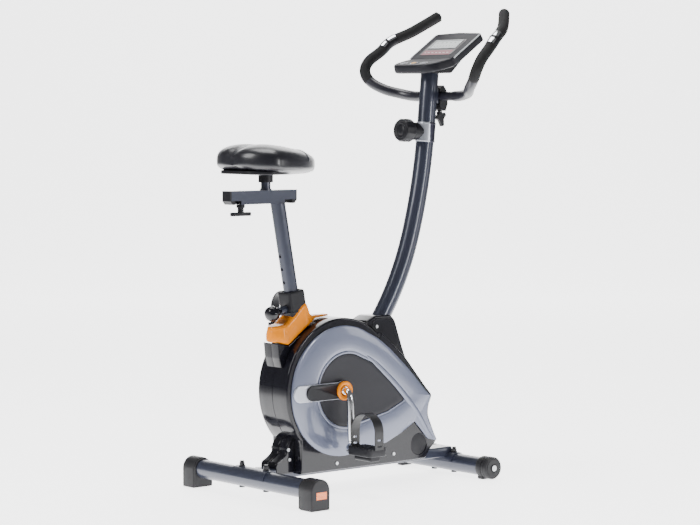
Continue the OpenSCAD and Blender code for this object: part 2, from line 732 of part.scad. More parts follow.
// The belt: outside tangents of the two pulleys
belt_r0 = pulley_d / 2 + free_gap;
belt_r1 = small_r + free_gap;
belt_gap = flywheel - crank;
belt_a = atan2(belt_gap[1], belt_gap[0]);
belt_b = acos((belt_r0 - belt_r1) / norm(belt_gap));
function belt_outline(t) = concat(
    arc(crank, belt_r0 + t, belt_a + belt_b, belt_a + 360 - belt_b, 72),
    arc(flywheel, belt_r1 + t, belt_a - belt_b, belt_a + belt_b, 20));

module drive_belt() color(black) bike() difference() {
    slab(pulley_y - 5, pulley_y + 5) polygon(belt_outline(2.5));
    slab(pulley_y - 6, pulley_y + 6) polygon(belt_outline(0));
}

// ---- seat ----------------------------------------------------------------

module seat_post() color(steel) bike() {
    difference() {
        seat_axis(post_end_s) cylinder(r = post_r, h = -post_end_s + 10);
        seat_axis(post_end_s - 1) cylinder(r = post_r - tube_wall, h = -post_end_s + 12);
        translate([-100, -60, rail_z]) cube([300, 120, 60]);
        for (k = [-holes_down:holes_up]) seat_axis(pin_s + k * hole_pitch) rotate([0, -90, 0])
            cylinder(r = pin_r + 0.3, h = 40);
    }
    // Lower rail: an open channel that the slider runs over
    difference() {
        translate([rail_x + plug_l + rail_travel + 2, -rail_w / 2 + 3, rail_z])
            cube([rail_l - 2 * (plug_l + rail_travel + 2), rail_w - 6, 22]);
        translate([rail_x, -rail_w / 2 + 5, rail_z + 2]) cube([rail_l, rail_w - 10, 22]);
        translate([slide_knob_x - rail_travel - 7, -4.6, rail_z - 1]) cube([2 * rail_travel + 14, 9.2, 6]);
    }
}

module seat_slider() color(steel) bike() {
    difference() {
        translate([rail_x + 0.1, -rail_w / 2, rail_z + rail_h - slider_h]) cube([rail_l - 0.2, rail_w, slider_h]);
        translate([rail_x - 1, -rail_w / 2 + 2.4, rail_z + rail_h - slider_h - 1]) cube([rail_l + 2, rail_w - 4.8, slider_h - 1.4]);
        translate([slide_knob_x, 0, rail_z + 10]) cylinder(r = 4 + run_gap, h = 60);
    }
    // Welded nut for the slide knob, and the saddle's stem
    difference() {
        translate([slide_knob_x, 0, rail_z + rail_h - 10.5]) cylinder(r = 9, h = 9);
        translate([slide_knob_x, 0, rail_z]) cylinder(r = 4 + run_gap, h = 60);
    }
    translate([stem_x, 0, rail_z + rail_h - 0.1]) cylinder(r = 15, h = 4);
    translate([stem_x, 0, rail_z + rail_h]) cylinder(r = 12.5, h = saddle_z - 8 - rail_z - rail_h);
}

module rail_end_plugs() color(black) bike() {
    translate([rail_x, 0, rail_z]) plug_solid();
    translate([rail_x + rail_l, 0, rail_z]) mirror([1, 0, 0]) plug_solid();
}
module plug_solid() {
    slab(-rail_w / 2, rail_w / 2)
        polygon([[-4, rail_h], [-4, 9], [4, 0], [plug_l, 0], [plug_l, 9.8], [0, 9.8], [0, rail_h]]);
    translate([-0.1, -rail_w / 2 + 2.5, 9.7]) cube([plug_l, rail_w - 5, rail_h - 12.2]);
}

module saddle_pan() color(satin_black) bike() difference() {
    union() {
        translate([0, 0, saddle_z - 8]) linear_extrude(7.6) union() {
            for (s = [-1, 1]) translate([2, s * 42]) circle(r = 50);
            polygon([[0, -92], [150, -16], [150, 16], [0, 92]]);
            translate([146, 0]) circle(r = 18);
        }
        translate([stem_x, 0, saddle_z - 26]) cylinder(r = 19, h = 18.1);
    }
    translate([stem_x, 0, rail_z]) cylinder(r = 12.55, h = saddle_z - rail_z - 8);
    both_sides() translate([-10, 52, saddle_z - 9]) cylinder(r = 12, h = 5);
}

module saddle_cushion() color(satin_black) bike() hull() {
    for (s = [-1, 1]) translate([-4, s * (saddle_w / 2 - 66), saddle_z + 39]) scale([1.06, 0.98, 0.58])
        sphere(r = 67, $fn = 32);
    translate([150, 0, saddle_z + 33]) scale([1.3, 1, 0.8]) sphere(r = 40, $fn = 32);
}

module slide_knob() color(black) bike() translate([slide_knob_x, 0, 0]) {
    translate([0, 0, rail_z - 28]) cylinder(r = 4, h = 48);
    translate([0, 0, rail_z - 24]) cylinder(r = 8, h = 16);
    translate([0, 0, rail_z - 8.2]) cylinder(r = 11, h = 7.8);
    translate([0, 0, rail_z - 30]) linear_extrude(10) union() {
        square([46, 12], center = true);
        for (s = [-1, 1]) translate([s * 24, 0]) circle(r = 8);
    }
}

module pop_pin() color(black) bike() {
    pin_axis(post_r + 0.5) cylinder(r = pin_r, h = knob_in);
    pin_axis(knob_in) cylinder(r = 12, h = 12);
    pin_axis(knob_in + 8) cylinder(r = 20, h = knob_out - knob_in - 10);
    pin_axis(knob_in + 20) cylinder(r = 17, h = knob_out - knob_in - 20);
}

// ---- handlebar and console -----------------------------------------------

BAR_PATH = spline(BAR, 4);
function stretch(a, b) = [for (i = [a:b]) BAR_PATH[i]];

module handlebar() color(steel) bike() {
    ring_y(clamp[0], clamp[1], bar_r - 1.6, bar_r, -62, 62);
    both_sides() sleeve(BAR_PATH, bar_r - 2.1, bar_r - 0.5, 12);
}

module grips() color(black) bike() both_sides() {
    sleeve(stretch(16, 40), bar_r + 0.2, grip_r, 12);
    translate(BAR[10]) multmatrix(tip_frame) translate([0, 0, 0.1]) cylinder(r = grip_r, h = 5);
}

tip_t = unit(BAR_PATH[40] - BAR_PATH[39]);
tip_u = unit(cross(tip_t, tube_ref));
tip_v = cross(tip_t, tip_u);
tip_frame = [[tip_u[0], tip_v[0], tip_t[0], 0], [tip_u[1], tip_v[1], tip_t[1], 0], [tip_u[2], tip_v[2], tip_t[2], 0], [0, 0, 0, 1]];

module pulse_sensors() color(chrome) bike() both_sides()
    sleeve(stretch(29, 33), grip_r + 0.1, grip_r + 1.2, 12);

module handlebar_clamp() color(black) bike() difference() {
    slab(-24, 24) union() {
        translate(clamp) circle(r = 21);
        polygon([clamp + [-10, -21], clamp + [-9, 21], clamp + [4, 30], clamp + [14, 18], clamp + [20, -20], clamp + [12, -40], clamp + [-6, -36]]);
    }
    pin_y(clamp[0], clamp[1], bar_r + run_gap, -60, 60);
    leaning(top_point, lean_top) translate([0, 0, -10]) cylinder(r = main_r + 0.3, h = top_len + 20);
    translate([clamp[0] - 60, -30, clamp[1] - 60]) cube([50.2, 60, 120]);
    clamp_axis(-30) cylinder(r = 4 + run_gap, h = 40);
}

// The clamp's lever hangs from a screw that points forwards and down
module clamp_axis(d) translate([clamp[0] + 8, 0, clamp[1] - 36]) rotate([0, 180 - 15, 0]) translate([0, 0, d]) children();
module clamp_knob() color(black) bike() {
    clamp_axis(-14) cylinder(r = 4, h = 24);
    clamp_axis(6) cylinder(r = 8, h = 10);
    clamp_axis(13) rotate([90, 0, 0]) translate([0, 0, -5]) linear_extrude(10)
        polygon([[-16, 0], [16, 0], [19, 8], [8, 16], [4, 34], [-4, 34], [-8, 16], [-19, 8]]);
}

slope_dir = [cos(console_slope), sin(console_slope)];
slab_top = hinge_line + slab_l * slope_dir;
CONSOLE = [[535, 1124], hinge_line, slab_top, slab_top + [6, -6], slab_top + [slab_t * sin(console_slope), -slab_t * cos(console_slope)],
           [648, 1112], [628, 1098], [545, 1098], [536, 1104]];

module console_plan() union() {
    translate([lobe[0], 0]) circle(r = lobe[1]);
    translate([lobe[0] + 5, -console_w / 2 + 8]) square([130, console_w - 16]);
    translate([lobe[0] + 20, -console_w / 2]) square([98, console_w]);
    for (s = [-1, 1]) translate([slab_top[0] - 2, s * (console_w / 2 - 8)]) circle(r = 8);
}

module console_body() intersection() {
    slab(-console_w, console_w) polygon(CONSOLE);
    translate([0, 0, 1000]) linear_extrude(300) console_plan();
}

// Splits the console into its face half and its back half
module console_split() slab(-console_w, console_w) polygon([
    [500, 1080], [548, 1080], [548, 1108], [620, 1116], slab_top + [8, -12], slab_top + [60, -12], slab_top + [60, -200]]);

module console_housing() color(black) bike() difference() {
    console_body();
    console_split();
    slab(-console_w / 2 + 6, console_w / 2 - 6) polygon([
        [560, 1104], [622, 1130], slab_top + [-12, -22], slab_top + [0, -30], [640, 1100]]);
    face_place(0) translate([-46, -64, -1.9]) cube([76, 128, 10]);
    for (k = [-1:1]) button_place(k) translate([0, 0, -20]) cylinder(r = button_r + free_gap, h = 40);
}

module console_back() color(satin_black) bike() difference() {
    intersection() {
        console_body();
        console_split();
    }
    leaning(top_point, lean_top) translate([0, 0, -10]) cylinder(r = main_r + 0.2, h = top_len + 13);
    for (k = [-1:1]) button_place(k) translate([0, 0, -30]) cylinder(r = button_r + free_gap, h = 28);
}

// On the sloping face: x runs up the slope from its middle, z stands off it
module face_place(h) translate([(hinge_line[0] + slab_top[0]) / 2, 0, (hinge_line[1] + slab_top[1]) / 2])
    rotate([0, -console_slope, 0]) translate([0, 0, h]) children();

module console_face() color(grey_blue) bike() difference() {
    face_place(-1.8) translate([-45.8, -63.8, 0]) cube([75.6, 127.6, 1.6]);
    face_place(-3) translate([-12, -52.2, 0]) cube([36, 104.4, 10]);
}

module lcd_screen() color([0.66, 0.72, 0.70]) bike()
    face_place(-1.8) translate([-11.8, -52, 0]) cube([35.6, 104, 1.2]);

lobe_slope = atan2(hinge_line[1] - 1124, hinge_line[0] - 535);
module button_place(k) translate([button_x, k * button_pitch, 1124 + (button_x - 535) * tan(lobe_slope)])
    rotate([0, -lobe_slope, 0]) children();
module button(k) bike() button_place(k) translate([0, 0, -10]) cylinder(r = button_r, h = 10 + 2.5);
module left_button() color(silver) button(1);
module middle_button() color(orange) button(0);
module right_button() color(silver) button(-1);

base_tube();
rear_stabiliser();
front_stabiliser();
frame_bolts();
rear_end_caps();
reflectors();
front_end_caps();
seat_tube();
head_stub();
bottom_bracket();
crank_bearings();
flywheel_axle();
post_bushing();
right_cover();
left_cover();
side_rings();
side_panels();
hub_bars();
hub_rings();
seat_collar();
seat_tube_cover();
front_shroud();
cover_screws();
handlebar_post();
post_band();
tension_housing();
tension_cable();
drive_belt();
console_housing();
console_back();
console_face();
lcd_screen();
handlebar_clamp();
right_roller();
left_roller();
crank_axle();
drive_pulley();
right_crank();
left_crank();
right_pedal();
left_pedal();
right_strap();
left_strap();
flywheel();
brake_arm();
tension_knob();
seat_post();
seat_slider();
rail_end_plugs();
saddle_pan();
saddle_cushion();
slide_knob();
pop_pin();
handlebar();
grips();
pulse_sensors();
clamp_knob();
left_button();
middle_button();
right_button();
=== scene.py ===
# %% [markdown]
# # An upright exercise bike
#
# The bike is a welded steel frame on two stabiliser tubes, a moulded casing that hides the flywheel,
# a saddle on a sliding post, and a curved post that carries the handlebar and the console.
# Every cell below makes one group of pieces. Sizes are in millimetres in a frame counted from the rear
# stabiliser's axis, the same frame that the part's own source uses, and `to_row` turns them into the
# shared frame in metres.
#
# Surfaces are arrays of points, so that a moulding is one formula and not a pile of boxes with holes:
# an outline swept through rounded edges, a profile turned about an axis, or a ring carried along a path.

# %% Loading the frame
import math

import bpy
import numpy as np
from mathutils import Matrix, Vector


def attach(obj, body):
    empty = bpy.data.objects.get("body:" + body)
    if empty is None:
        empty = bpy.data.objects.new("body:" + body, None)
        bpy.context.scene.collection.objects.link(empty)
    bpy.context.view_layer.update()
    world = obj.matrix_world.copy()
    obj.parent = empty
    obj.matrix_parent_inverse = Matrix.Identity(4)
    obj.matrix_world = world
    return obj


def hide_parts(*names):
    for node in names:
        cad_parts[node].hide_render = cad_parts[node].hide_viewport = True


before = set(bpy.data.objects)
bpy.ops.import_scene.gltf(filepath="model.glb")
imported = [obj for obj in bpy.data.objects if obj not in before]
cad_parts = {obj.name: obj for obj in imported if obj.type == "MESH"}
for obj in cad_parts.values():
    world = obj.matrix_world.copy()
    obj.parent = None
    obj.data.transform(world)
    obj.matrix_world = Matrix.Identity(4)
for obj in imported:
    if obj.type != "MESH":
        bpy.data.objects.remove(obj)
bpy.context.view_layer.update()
MID_X = 342.0
MM = 0.001


def to_row(points):
    """Millimetres from the rear stabiliser's axis to metres in the shared frame."""
    return (np.asarray(points, float) - [MID_X, 0.0, 0.0]) * MM


# %% [markdown]
# ## Camera first
#
# The view is from behind and from the right, with a long lens from six metres away, a little below the
# height of the handlebar. A long lens keeps the tubes nearly parallel, as a catalogue picture does.

# %% Camera
VIEW_TURN = math.radians(40.6)
TOWARD = np.array([math.sin(VIEW_TURN), math.cos(VIEW_TURN)])
ASIDE = np.array([TOWARD[1], -TOWARD[0]])
camera_data = bpy.data.cameras.new("camera")
camera_data.lens = 118.3
camera_data.sensor_width = 36.0
camera = bpy.data.objects.new("camera", camera_data)
camera.location = (-3.996, -4.645, 0.997)
camera.rotation_euler = (math.radians(86.256), 0.0, -VIEW_TURN)
bpy.context.scene.collection.objects.link(camera)
bpy.context.scene.camera = camera
print("camera stands at", tuple(round(x, 2) for x in camera.location))

# %% [markdown]
# ## Shader arithmetic
#
# A finish is easier to read as a sum than as a web of boxes, so `Value` wraps one socket and gives it the
# usual operators. Adding a number to it makes a Math node behind the scenes.


# %% Shader sockets that can be added and multiplied
class Value:
    """One number in a shader, standing for an output socket."""

    def __init__(self, tree, socket):
        self.tree, self.socket = tree, socket

    def _math(self, operation, *others, clamp=False):
        node = self.tree.nodes.new("ShaderNodeMath")
        node.operation, node.use_clamp = operation, clamp
        for slot_, value in zip(node.inputs, others):
            if isinstance(value, Value):
                self.tree.links.new(value.socket, slot_)
            else:
                slot_.default_value = float(value)
        return Value(self.tree, node.outputs[0])

    def __add__(self, other):
        return self._math("ADD", self, other)

    def __radd__(self, other):
        return self._math("ADD", other, self)

    def __sub__(self, other):
        return self._math("SUBTRACT", self, other)

    def __rsub__(self, other):
        return self._math("SUBTRACT", other, self)

    def __mul__(self, other):
        return self._math("MULTIPLY", self, other)

    def __rmul__(self, other):
        return self._math("MULTIPLY", other, self)

    def __truediv__(self, other):
        return self._math("DIVIDE", self, other)

    def __rtruediv__(self, other):
        return self._math("DIVIDE", other, self)

    def __neg__(self):
        return self._math("MULTIPLY", self, -1.0)

    def size(self):
        """Its absolute value."""
        return self._math("ABSOLUTE", self)

    def wave(self):
        """Its sine."""
        return self._math("SINE", self)

    def step(self, low, high):
        """0 below low and 1 above high, with a smooth rise between."""
        node = self.tree.nodes.new("ShaderNodeMapRange")
        node.interpolation_type = "SMOOTHSTEP"
        self.tree.links.new(self.socket, node.inputs["Value"])
        node.inputs["From Min"].default_value = low
        node.inputs["From Max"].default_value = high
        return Value(self.tree, node.outputs["Result"])

    def inside(self, low, high, soft):
        """1 between low and high and 0 outside, with edges as wide as soft."""
        return self.step(low - soft, low + soft) * (1.0 - self.step(high - soft, high + soft))


class Finish:
    """A material whose Principled shader is filled in by name."""

    def __init__(self, name, colour, roughness, metallic=0.0, coat=0.0, coat_roughness=0.05, specular=0.5):
        self.name = name
        self.material = bpy.data.materials.new(name)
        self.material.use_nodes = True
        self.tree = self.material.node_tree
        self.shader = next(n for n in self.tree.nodes if n.type == "BSDF_PRINCIPLED")
        self.shader.inputs["Base Color"].default_value = (*colour, 1.0)
        self.shader.inputs["Roughness"].default_value = roughness
        self.shader.inputs["Metallic"].default_value = metallic
        self.shader.inputs["Coat Weight"].default_value = coat
        self.shader.inputs["Coat Roughness"].default_value = coat_roughness
        self.shader.inputs["Specular IOR Level"].default_value = specular
        self.material.diffuse_color = (*colour, 1.0)
        self.colour = colour

    def place(self):
        """Position on the piece, in metres, as three values."""
        coordinates = self.tree.nodes.new("ShaderNodeTexCoord")
        split = self.tree.nodes.new("ShaderNodeSeparateXYZ")
        self.tree.links.new(coordinates.outputs["Object"], split.inputs[0])
        return [Value(self.tree, s) for s in split.outputs]

    def noise(self, scale, detail=3.0, stretch=(1.0, 1.0, 1.0)):
        """Soft random value from 0 to 1, with about `scale` bumps to a metre."""
        coordinates = self.tree.nodes.new("ShaderNodeTexCoord")
        mapping = self.tree.nodes.new("ShaderNodeMapping")
        mapping.inputs["Scale"].default_value = stretch
        texture = self.tree.nodes.new("ShaderNodeTexNoise")
        texture.inputs["Scale"].default_value = scale
        texture.inputs["Detail"].default_value = detail
        self.tree.links.new(coordinates.outputs["Object"], mapping.inputs["Vector"])
        self.tree.links.new(mapping.outputs["Vector"], texture.inputs["Vector"])
        return Value(self.tree, texture.outputs["Fac"])

    def cells(self, scale):
        """Distance to the nearest of many scattered points, which makes a leather grain."""
        coordinates = self.tree.nodes.new("ShaderNodeTexCoord")
        texture = self.tree.nodes.new("ShaderNodeTexVoronoi")
        texture.inputs["Scale"].default_value = scale
        self.tree.links.new(coordinates.outputs["Object"], texture.inputs["Vector"])
        return Value(self.tree, texture.outputs["Distance"])

    def paint(self, other, where):
        """The colour turns to `other` as the value `where` goes from 0 to 1. It can be called again."""
        mix = self.tree.nodes.new("ShaderNodeMix")
        mix.data_type = "RGBA"
        for socket in mix.inputs:
            if socket.name == "B" and socket.type == "RGBA":
                socket.default_value = (*other, 1.0)
            if socket.name == "A" and socket.type == "RGBA":
                base = self.shader.inputs["Base Color"]
                if base.is_linked:
                    self.tree.links.new(base.links[0].from_socket, socket)
                else:
                    socket.default_value = tuple(base.default_value)
        self.tree.links.new(where.socket, mix.inputs[0])
        out = next(s for s in mix.outputs if s.type == "RGBA")
        self.tree.links.new(out, self.shader.inputs["Base Color"])
        return self

    def uneven(self, low, span, scale):
        """Roughness that wanders from low to low + span, with about `scale` patches to a metre."""
        return self.rough(low + span * self.noise(scale))

    def rough(self, value):
        self.tree.links.new(value.socket, self.shader.inputs["Roughness"])
        return self

    def bump(self, height, distance, strength=1.0):
        """Raises the surface where height is large, by up to distance metres."""
        node = self.tree.nodes.new("ShaderNodeBump")
        node.inputs["Strength"].default_value = strength
        node.inputs["Distance"].default_value = distance
        self.tree.links.new(height.socket, node.inputs["Height"])
        self.tree.links.new(node.outputs["Normal"], self.shader.inputs["Normal"])
        return self


print("shader helpers ready")

# %% [markdown]
# ## Finishes
#
# The frame is powder coated in a dark blue grey with a little metal flake in it. The casing is moulded
# polystyrene with a polished outside, so it mirrors the studio. Rubber, vinyl and foam differ mostly in
# how rough they are and in the size of their grain. Each finish varies a little in roughness, because a
# perfectly even gloss is what makes a picture look made.

# %% Paint, plastic and metal
frame_paint = Finish("frame_paint", (0.032, 0.037, 0.060), 0.34, metallic=0.35, coat=0.55, coat_roughness=0.16)
frame_paint.uneven(0.30, 0.10, 9.0)
frame_paint.bump(frame_paint.noise(900.0), 0.00006)

gloss_black = Finish("gloss_black", (0.0065, 0.0065, 0.010), 0.20, coat=0.25, coat_roughness=0.04, specular=0.3)
gloss_black.uneven(0.10, 0.10, 5.0)
gloss_black.bump(gloss_black.noise(7.0), 0.0006, 0.35)

bar_black = Finish("bar_black", (0.012, 0.012, 0.020), 0.34, coat=0.25, coat_roughness=0.20)
bar_black.uneven(0.32, 0.06, 30.0)

console_black = Finish("console_black", (0.009, 0.009, 0.014), 0.46, specular=0.35)
console_black.uneven(0.44, 0.08, 60.0)

satin_black = Finish("satin_black", (0.010, 0.010, 0.013), 0.44, specular=0.3)
satin_black.uneven(0.36, 0.12, 14.0)
satin_black.bump(satin_black.noise(1500.0), 0.00008)

side_grey = Finish("side_grey", (0.135, 0.150, 0.215), 0.26, metallic=0.25, coat=0.8, coat_roughness=0.05)
side_grey.uneven(0.20, 0.12, 6.0)
side_grey.bump(side_grey.noise(6.0), 0.0006, 0.3)

orange_gloss = Finish("orange_gloss", (0.80, 0.235, 0.0), 0.40, coat=0.06, coat_roughness=0.10, specular=0.22)
orange_gloss.uneven(0.20, 0.10, 12.0)

satin_silver = Finish("satin_silver", (0.50, 0.52, 0.58), 0.34, metallic=0.55, coat=0.3, coat_roughness=0.15)
satin_silver.uneven(0.28, 0.12, 30.0)

chrome = Finish("chrome", (0.80, 0.81, 0.84), 0.10, metallic=1.0)
chrome.uneven(0.07, 0.08, 25.0)

zinc = Finish("zinc", (0.55, 0.56, 0.58), 0.33, metallic=0.95)
zinc.uneven(0.26, 0.16, 120.0)

fastener_black = Finish("fastener_black", (0.020, 0.020, 0.023), 0.36, metallic=0.5)
fastener_black.uneven(0.30, 0.14, 160.0)

flywheel_iron = Finish("flywheel_iron", (0.22, 0.22, 0.23), 0.42, metallic=0.9)
flywheel_iron.uneven(0.34, 0.18, 60.0)

# %% Rubber, vinyl, foam and the rest
foot_rubber = Finish("foot_rubber", (0.010, 0.010, 0.012), 0.52, specular=0.35)
foot_rubber.uneven(0.44, 0.16, 40.0)
foot_rubber.bump(foot_rubber.noise(1100.0, 4.0), 0.00012)

saddle_vinyl = Finish("saddle_vinyl", (0.011, 0.011, 0.016), 0.30, coat=0.35, coat_roughness=0.22)
saddle_vinyl.uneven(0.26, 0.14, 18.0)
saddle_vinyl.bump(saddle_vinyl.cells(560.0), 0.00018, 0.5)

piping = Finish("piping", (0.085, 0.088, 0.105), 0.38)
piping.uneven(0.34, 0.10, 90.0)

grip_foam = Finish("grip_foam", (0.011, 0.011, 0.012), 0.78, specular=0.35)
grip_foam.uneven(0.66, 0.18, 60.0)
grip_foam.bump(grip_foam.noise(1700.0, 5.0), 0.0005, 0.8)

strap_vinyl = Finish("strap_vinyl", (0.012, 0.012, 0.014), 0.38)
strap_vinyl.uneven(0.32, 0.12, 50.0)
strap_vinyl.bump(strap_vinyl.noise(500.0), 0.00015)

belt_rubber = Finish("belt_rubber", (0.016, 0.016, 0.017), 0.62)
belt_rubber.uneven(0.56, 0.12, 80.0)

cable_jacket = Finish("cable_jacket", (0.02, 0.02, 0.022), 0.45)
cable_jacket.uneven(0.40, 0.10, 80.0)

button_grey = Finish("button_grey", (0.30, 0.31, 0.34), 0.42)
button_grey.uneven(0.38, 0.08, 200.0)

button_amber = Finish("button_amber", (0.85, 0.42, 0.02), 0.40)
button_amber.uneven(0.36, 0.08, 200.0)

reflector = Finish("reflector", (0.95, 0.16, 0.01), 0.22, coat=0.8, coat_roughness=0.04)
rx, _, rz = reflector.place()
ridges = (rx * 900.0).wave() * (rz * 900.0).wave()
reflector.bump(ridges, 0.0006)
# The ridges are a moulded prism pattern; the lighter orange on their tops is a painted glint.
reflector.paint((1.0, 0.34, 0.04), ridges.step(0.0, 1.0))
print("finishes", len(bpy.data.materials))

# %% [markdown]
# ## Surfaces from arrays
#
# `skin` is the one mesh maker: it takes rings of points, joins each ring to the next, and closes the ends.
# The other helpers only make rings. An edge is never left sharp, because a moulded or bent part has none:
# `quarter_edge` gives the quarter circle that turns from a wall to a face. A short flat strip inside each
# rounded edge keeps the shading of the flat face clean.


# %% Rings, skins and outlines
def skin(rings, loop=False):
    """Row k of the array is one closed ring. Walls join ring k to ring k + 1; the first and last are capped,
    or joined to each other when loop is true."""
    rings = np.asarray(rings, float)
    count, around = rings.shape[:2]
    index = np.arange(count * around).reshape(count, around)
    low = index if loop else index[:-1]
    high = np.roll(index, -1, 0) if loop else index[1:]
    faces = np.stack([low, np.roll(low, -1, 1), np.roll(high, -1, 1), high], -1).reshape(-1, 4).tolist()
    if not loop:
        faces += [index[0][::-1].tolist(), index[-1].tolist()]
    return rings.reshape(-1, 3), faces


def outward(points, faces):
    """The faces, turned over if the closed surface that they make is inside out."""
    volume = 0.0
    for face in faces:
        corner = points[face]
        volume += np.einsum("i,ji->", corner[0], np.cross(corner[1:-1], corner[2:])) if len(face) > 2 else 0.0
    return faces if volume > 0 else [face[::-1] for face in faces]


def mesh_of(name, skins):
    """One mesh from one or more closed skins, every one facing outwards."""
    points, faces, start = [], [], 0
    for part_points, part_faces in skins:
        part_points = np.asarray(part_points, float)
        part_faces = outward(part_points - part_points.mean(0), part_faces)
        points.append(part_points)
        faces += [[start + i for i in face] for face in part_faces]
        start += len(part_points)
    mesh = bpy.data.meshes.new(name)
    mesh.from_pydata(to_row(np.concatenate(points)).tolist(), [], faces)
    return mesh


def piece(name, skins, finish, body="frame", replaces=(), slot=None, sharp=38.0):
    """One object from closed skins. The slot argument is not used."""
    mesh = mesh_of(name, skins)
    mesh.polygons.foreach_set("use_smooth", [True] * len(mesh.polygons))
    mesh.set_sharp_from_angle(angle=math.radians(sharp))
    thing = bpy.data.objects.new(name, mesh)
    bpy.context.scene.collection.objects.link(thing)
    thing.data.materials.append(finish.material)
    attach(thing, body)
    if replaces:
        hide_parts(*replaces)
    slot or finish.name
    return thing


def cut(thing, skins):
    """Takes the closed skins away from the object, once, and leaves a plain mesh."""
    tool = bpy.data.objects.new("cutter", mesh_of("cutter", skins))
    bpy.context.scene.collection.objects.link(tool)
    modifier = thing.modifiers.new("cut", "BOOLEAN")
    modifier.operation, modifier.object, modifier.solver = "DIFFERENCE", tool, "EXACT"
    graph = bpy.context.evaluated_depsgraph_get()
    made = bpy.data.meshes.new_from_object(thing.evaluated_get(graph))
    thing.modifiers.remove(modifier)
    thing.data = made
    bpy.data.objects.remove(tool)
    return thing


def unit(vector):
    """The vector, or each row of an array, at length one."""
    vector = np.asarray(vector, float)
    return vector / np.linalg.norm(vector, axis=-1, keepdims=True)


def frame_at(origin, forward, up):
    """A placement: local x, y, z to the bike's frame, with z along forward and y near up."""
    z = unit(forward)
    x = unit(np.cross(up, z))
    y = np.cross(z, x)
    origin = np.asarray(origin, float)
    return lambda local: origin + np.asarray(local, float) @ np.array([x, y, z])


def sideways(local):
    """Placement of outlines drawn in the side view: x, height, and distance from the middle plane."""
    local = np.asarray(local, float)
    return np.stack([local[..., 0], local[..., 2], local[..., 1]], -1)


def upright(local):
    """Placement of outlines drawn from above."""
    return np.asarray(local, float)


def mirrored(skins):
    """The same skins on the other side of the middle plane."""
    return [(np.asarray(points) * [1.0, -1.0, 1.0], faces) for points, faces in skins]


def both(skins):
    """The skins and their mirror images."""
    return skins + mirrored(skins)


def arc(centre, radius, start, end, steps):
    angle = np.radians(np.linspace(start, end, steps))
    return np.stack([centre[0] + radius * np.cos(angle), centre[1] + radius * np.sin(angle)], -1)


LONGEST_BEND = 0.42  # share of a side that one rounded corner may take up


def soften(corners, radius, steps=6):
    """An outline with every corner rounded, and a point a little before and after each bend."""
    corners = np.asarray(corners, float)
    made = []
    for before, corner, after in zip(np.roll(corners, 1, 0), corners, np.roll(corners, -1, 0)):
        to_before, to_after = before - corner, after - corner
        reach = min(radius, LONGEST_BEND * np.linalg.norm(to_before), LONGEST_BEND * np.linalg.norm(to_after))
        a, b = corner + unit(to_before) * reach, corner + unit(to_after) * reach
        t = np.linspace(0, 1, steps)[:, None]
        made.append(a + unit(to_before) * 0.12 * reach)
        made.extend((1 - t) ** 2 * a + 2 * t * (1 - t) * corner + t**2 * b)
        made.append(b + unit(to_after) * 0.12 * reach)
    return np.array(made)


def round_outline(width, depth, radius, steps=7):
    return soften([[-width / 2, -depth / 2], [width / 2, -depth / 2], [width / 2, depth / 2],
        [-width / 2, depth / 2]], radius, steps)


def inset(outline, distance):
    """The outline moved inwards along its own normals, which for these outlines run anticlockwise."""
    along = unit(outline - np.roll(outline, 1, 0)), unit(np.roll(outline, -1, 0) - outline)
    normal = unit(np.stack([-(along[0] + along[1])[:, 1], (along[0] + along[1])[:, 0]], -1))
    straight = np.stack([-along[0][:, 1], along[0][:, 0]], -1)
    share = np.clip((normal * straight).sum(1, keepdims=True), 0.55, 1)
    return outline + normal * distance / share


def anticlockwise(outline):
    """The outline in the direction that inset expects."""
    x, y = outline[:, 0], outline[:, 1]
    return outline if (x * np.roll(y, -1) - np.roll(x, -1) * y).sum() > 0 else outline[::-1]


def quarter_edge(edge, steps):
    """Inset and drop of a rounded edge, from the wall to the face."""
    return [(edge * (1 - math.cos(a)), edge * (1 - math.sin(a))) for a in np.linspace(0, math.pi / 2, steps)]


def slab(outline, low, high, edge, place=sideways, steps=5):
    """A plate with rounded edges: the outline carried from low to high along the placement's z."""
    outline = anticlockwise(np.asarray(outline, float))
    levels = [(edge + 0.6, low)]
    quarter = quarter_edge(edge, steps)
    levels += [(i, low + d) for i, d in quarter[::-1]]
    levels += [(i, high - d) for i, d in quarter]
    levels += [(edge + 0.6, high)]
    rings = []
    for inwards, height in levels:
        ring = inset(outline, inwards)
        rings.append(place(np.column_stack([ring, np.full(len(ring), height)])))
    return [skin(rings)]


def hoop(outer, inner, low, high, edge, place=sideways, steps=4):
    """A frame between two outlines with the same number of points, with all four edges rounded."""
    quarter = quarter_edge(edge, steps)
    rings = []
    for outline, sign in ((anticlockwise(np.asarray(outer, float)), 1), (anticlockwise(np.asarray(inner, float)), -1)):
        levels = [(i, low + d) for i, d in quarter[::-1]] + [(i, high - d) for i, d in quarter]
        for inwards, height in levels if sign == 1 else levels[::-1]:
            ring = inset(outline, sign * inwards)
            rings.append(place(np.column_stack([ring, np.full(len(ring), height)])))
    return [skin(rings, loop=True)]


def turned(profile, place, around=64, loop=False, scallop=None):
    """A profile of (radius, height) pairs turned about the placement's z axis. scallop(angle, height)
    multiplies the radius, for a fluted knob."""
    profile = np.asarray(profile, float)
    angle = np.linspace(0, 2 * math.pi, around, endpoint=False)
    rings = []
    for radius, height in profile:
        r = radius * (scallop(angle, height) if scallop else np.ones(around))
        rings.append(place(np.stack([r * np.cos(angle), r * np.sin(angle), np.full(around, height)], -1)))
    return [skin(rings, loop)]


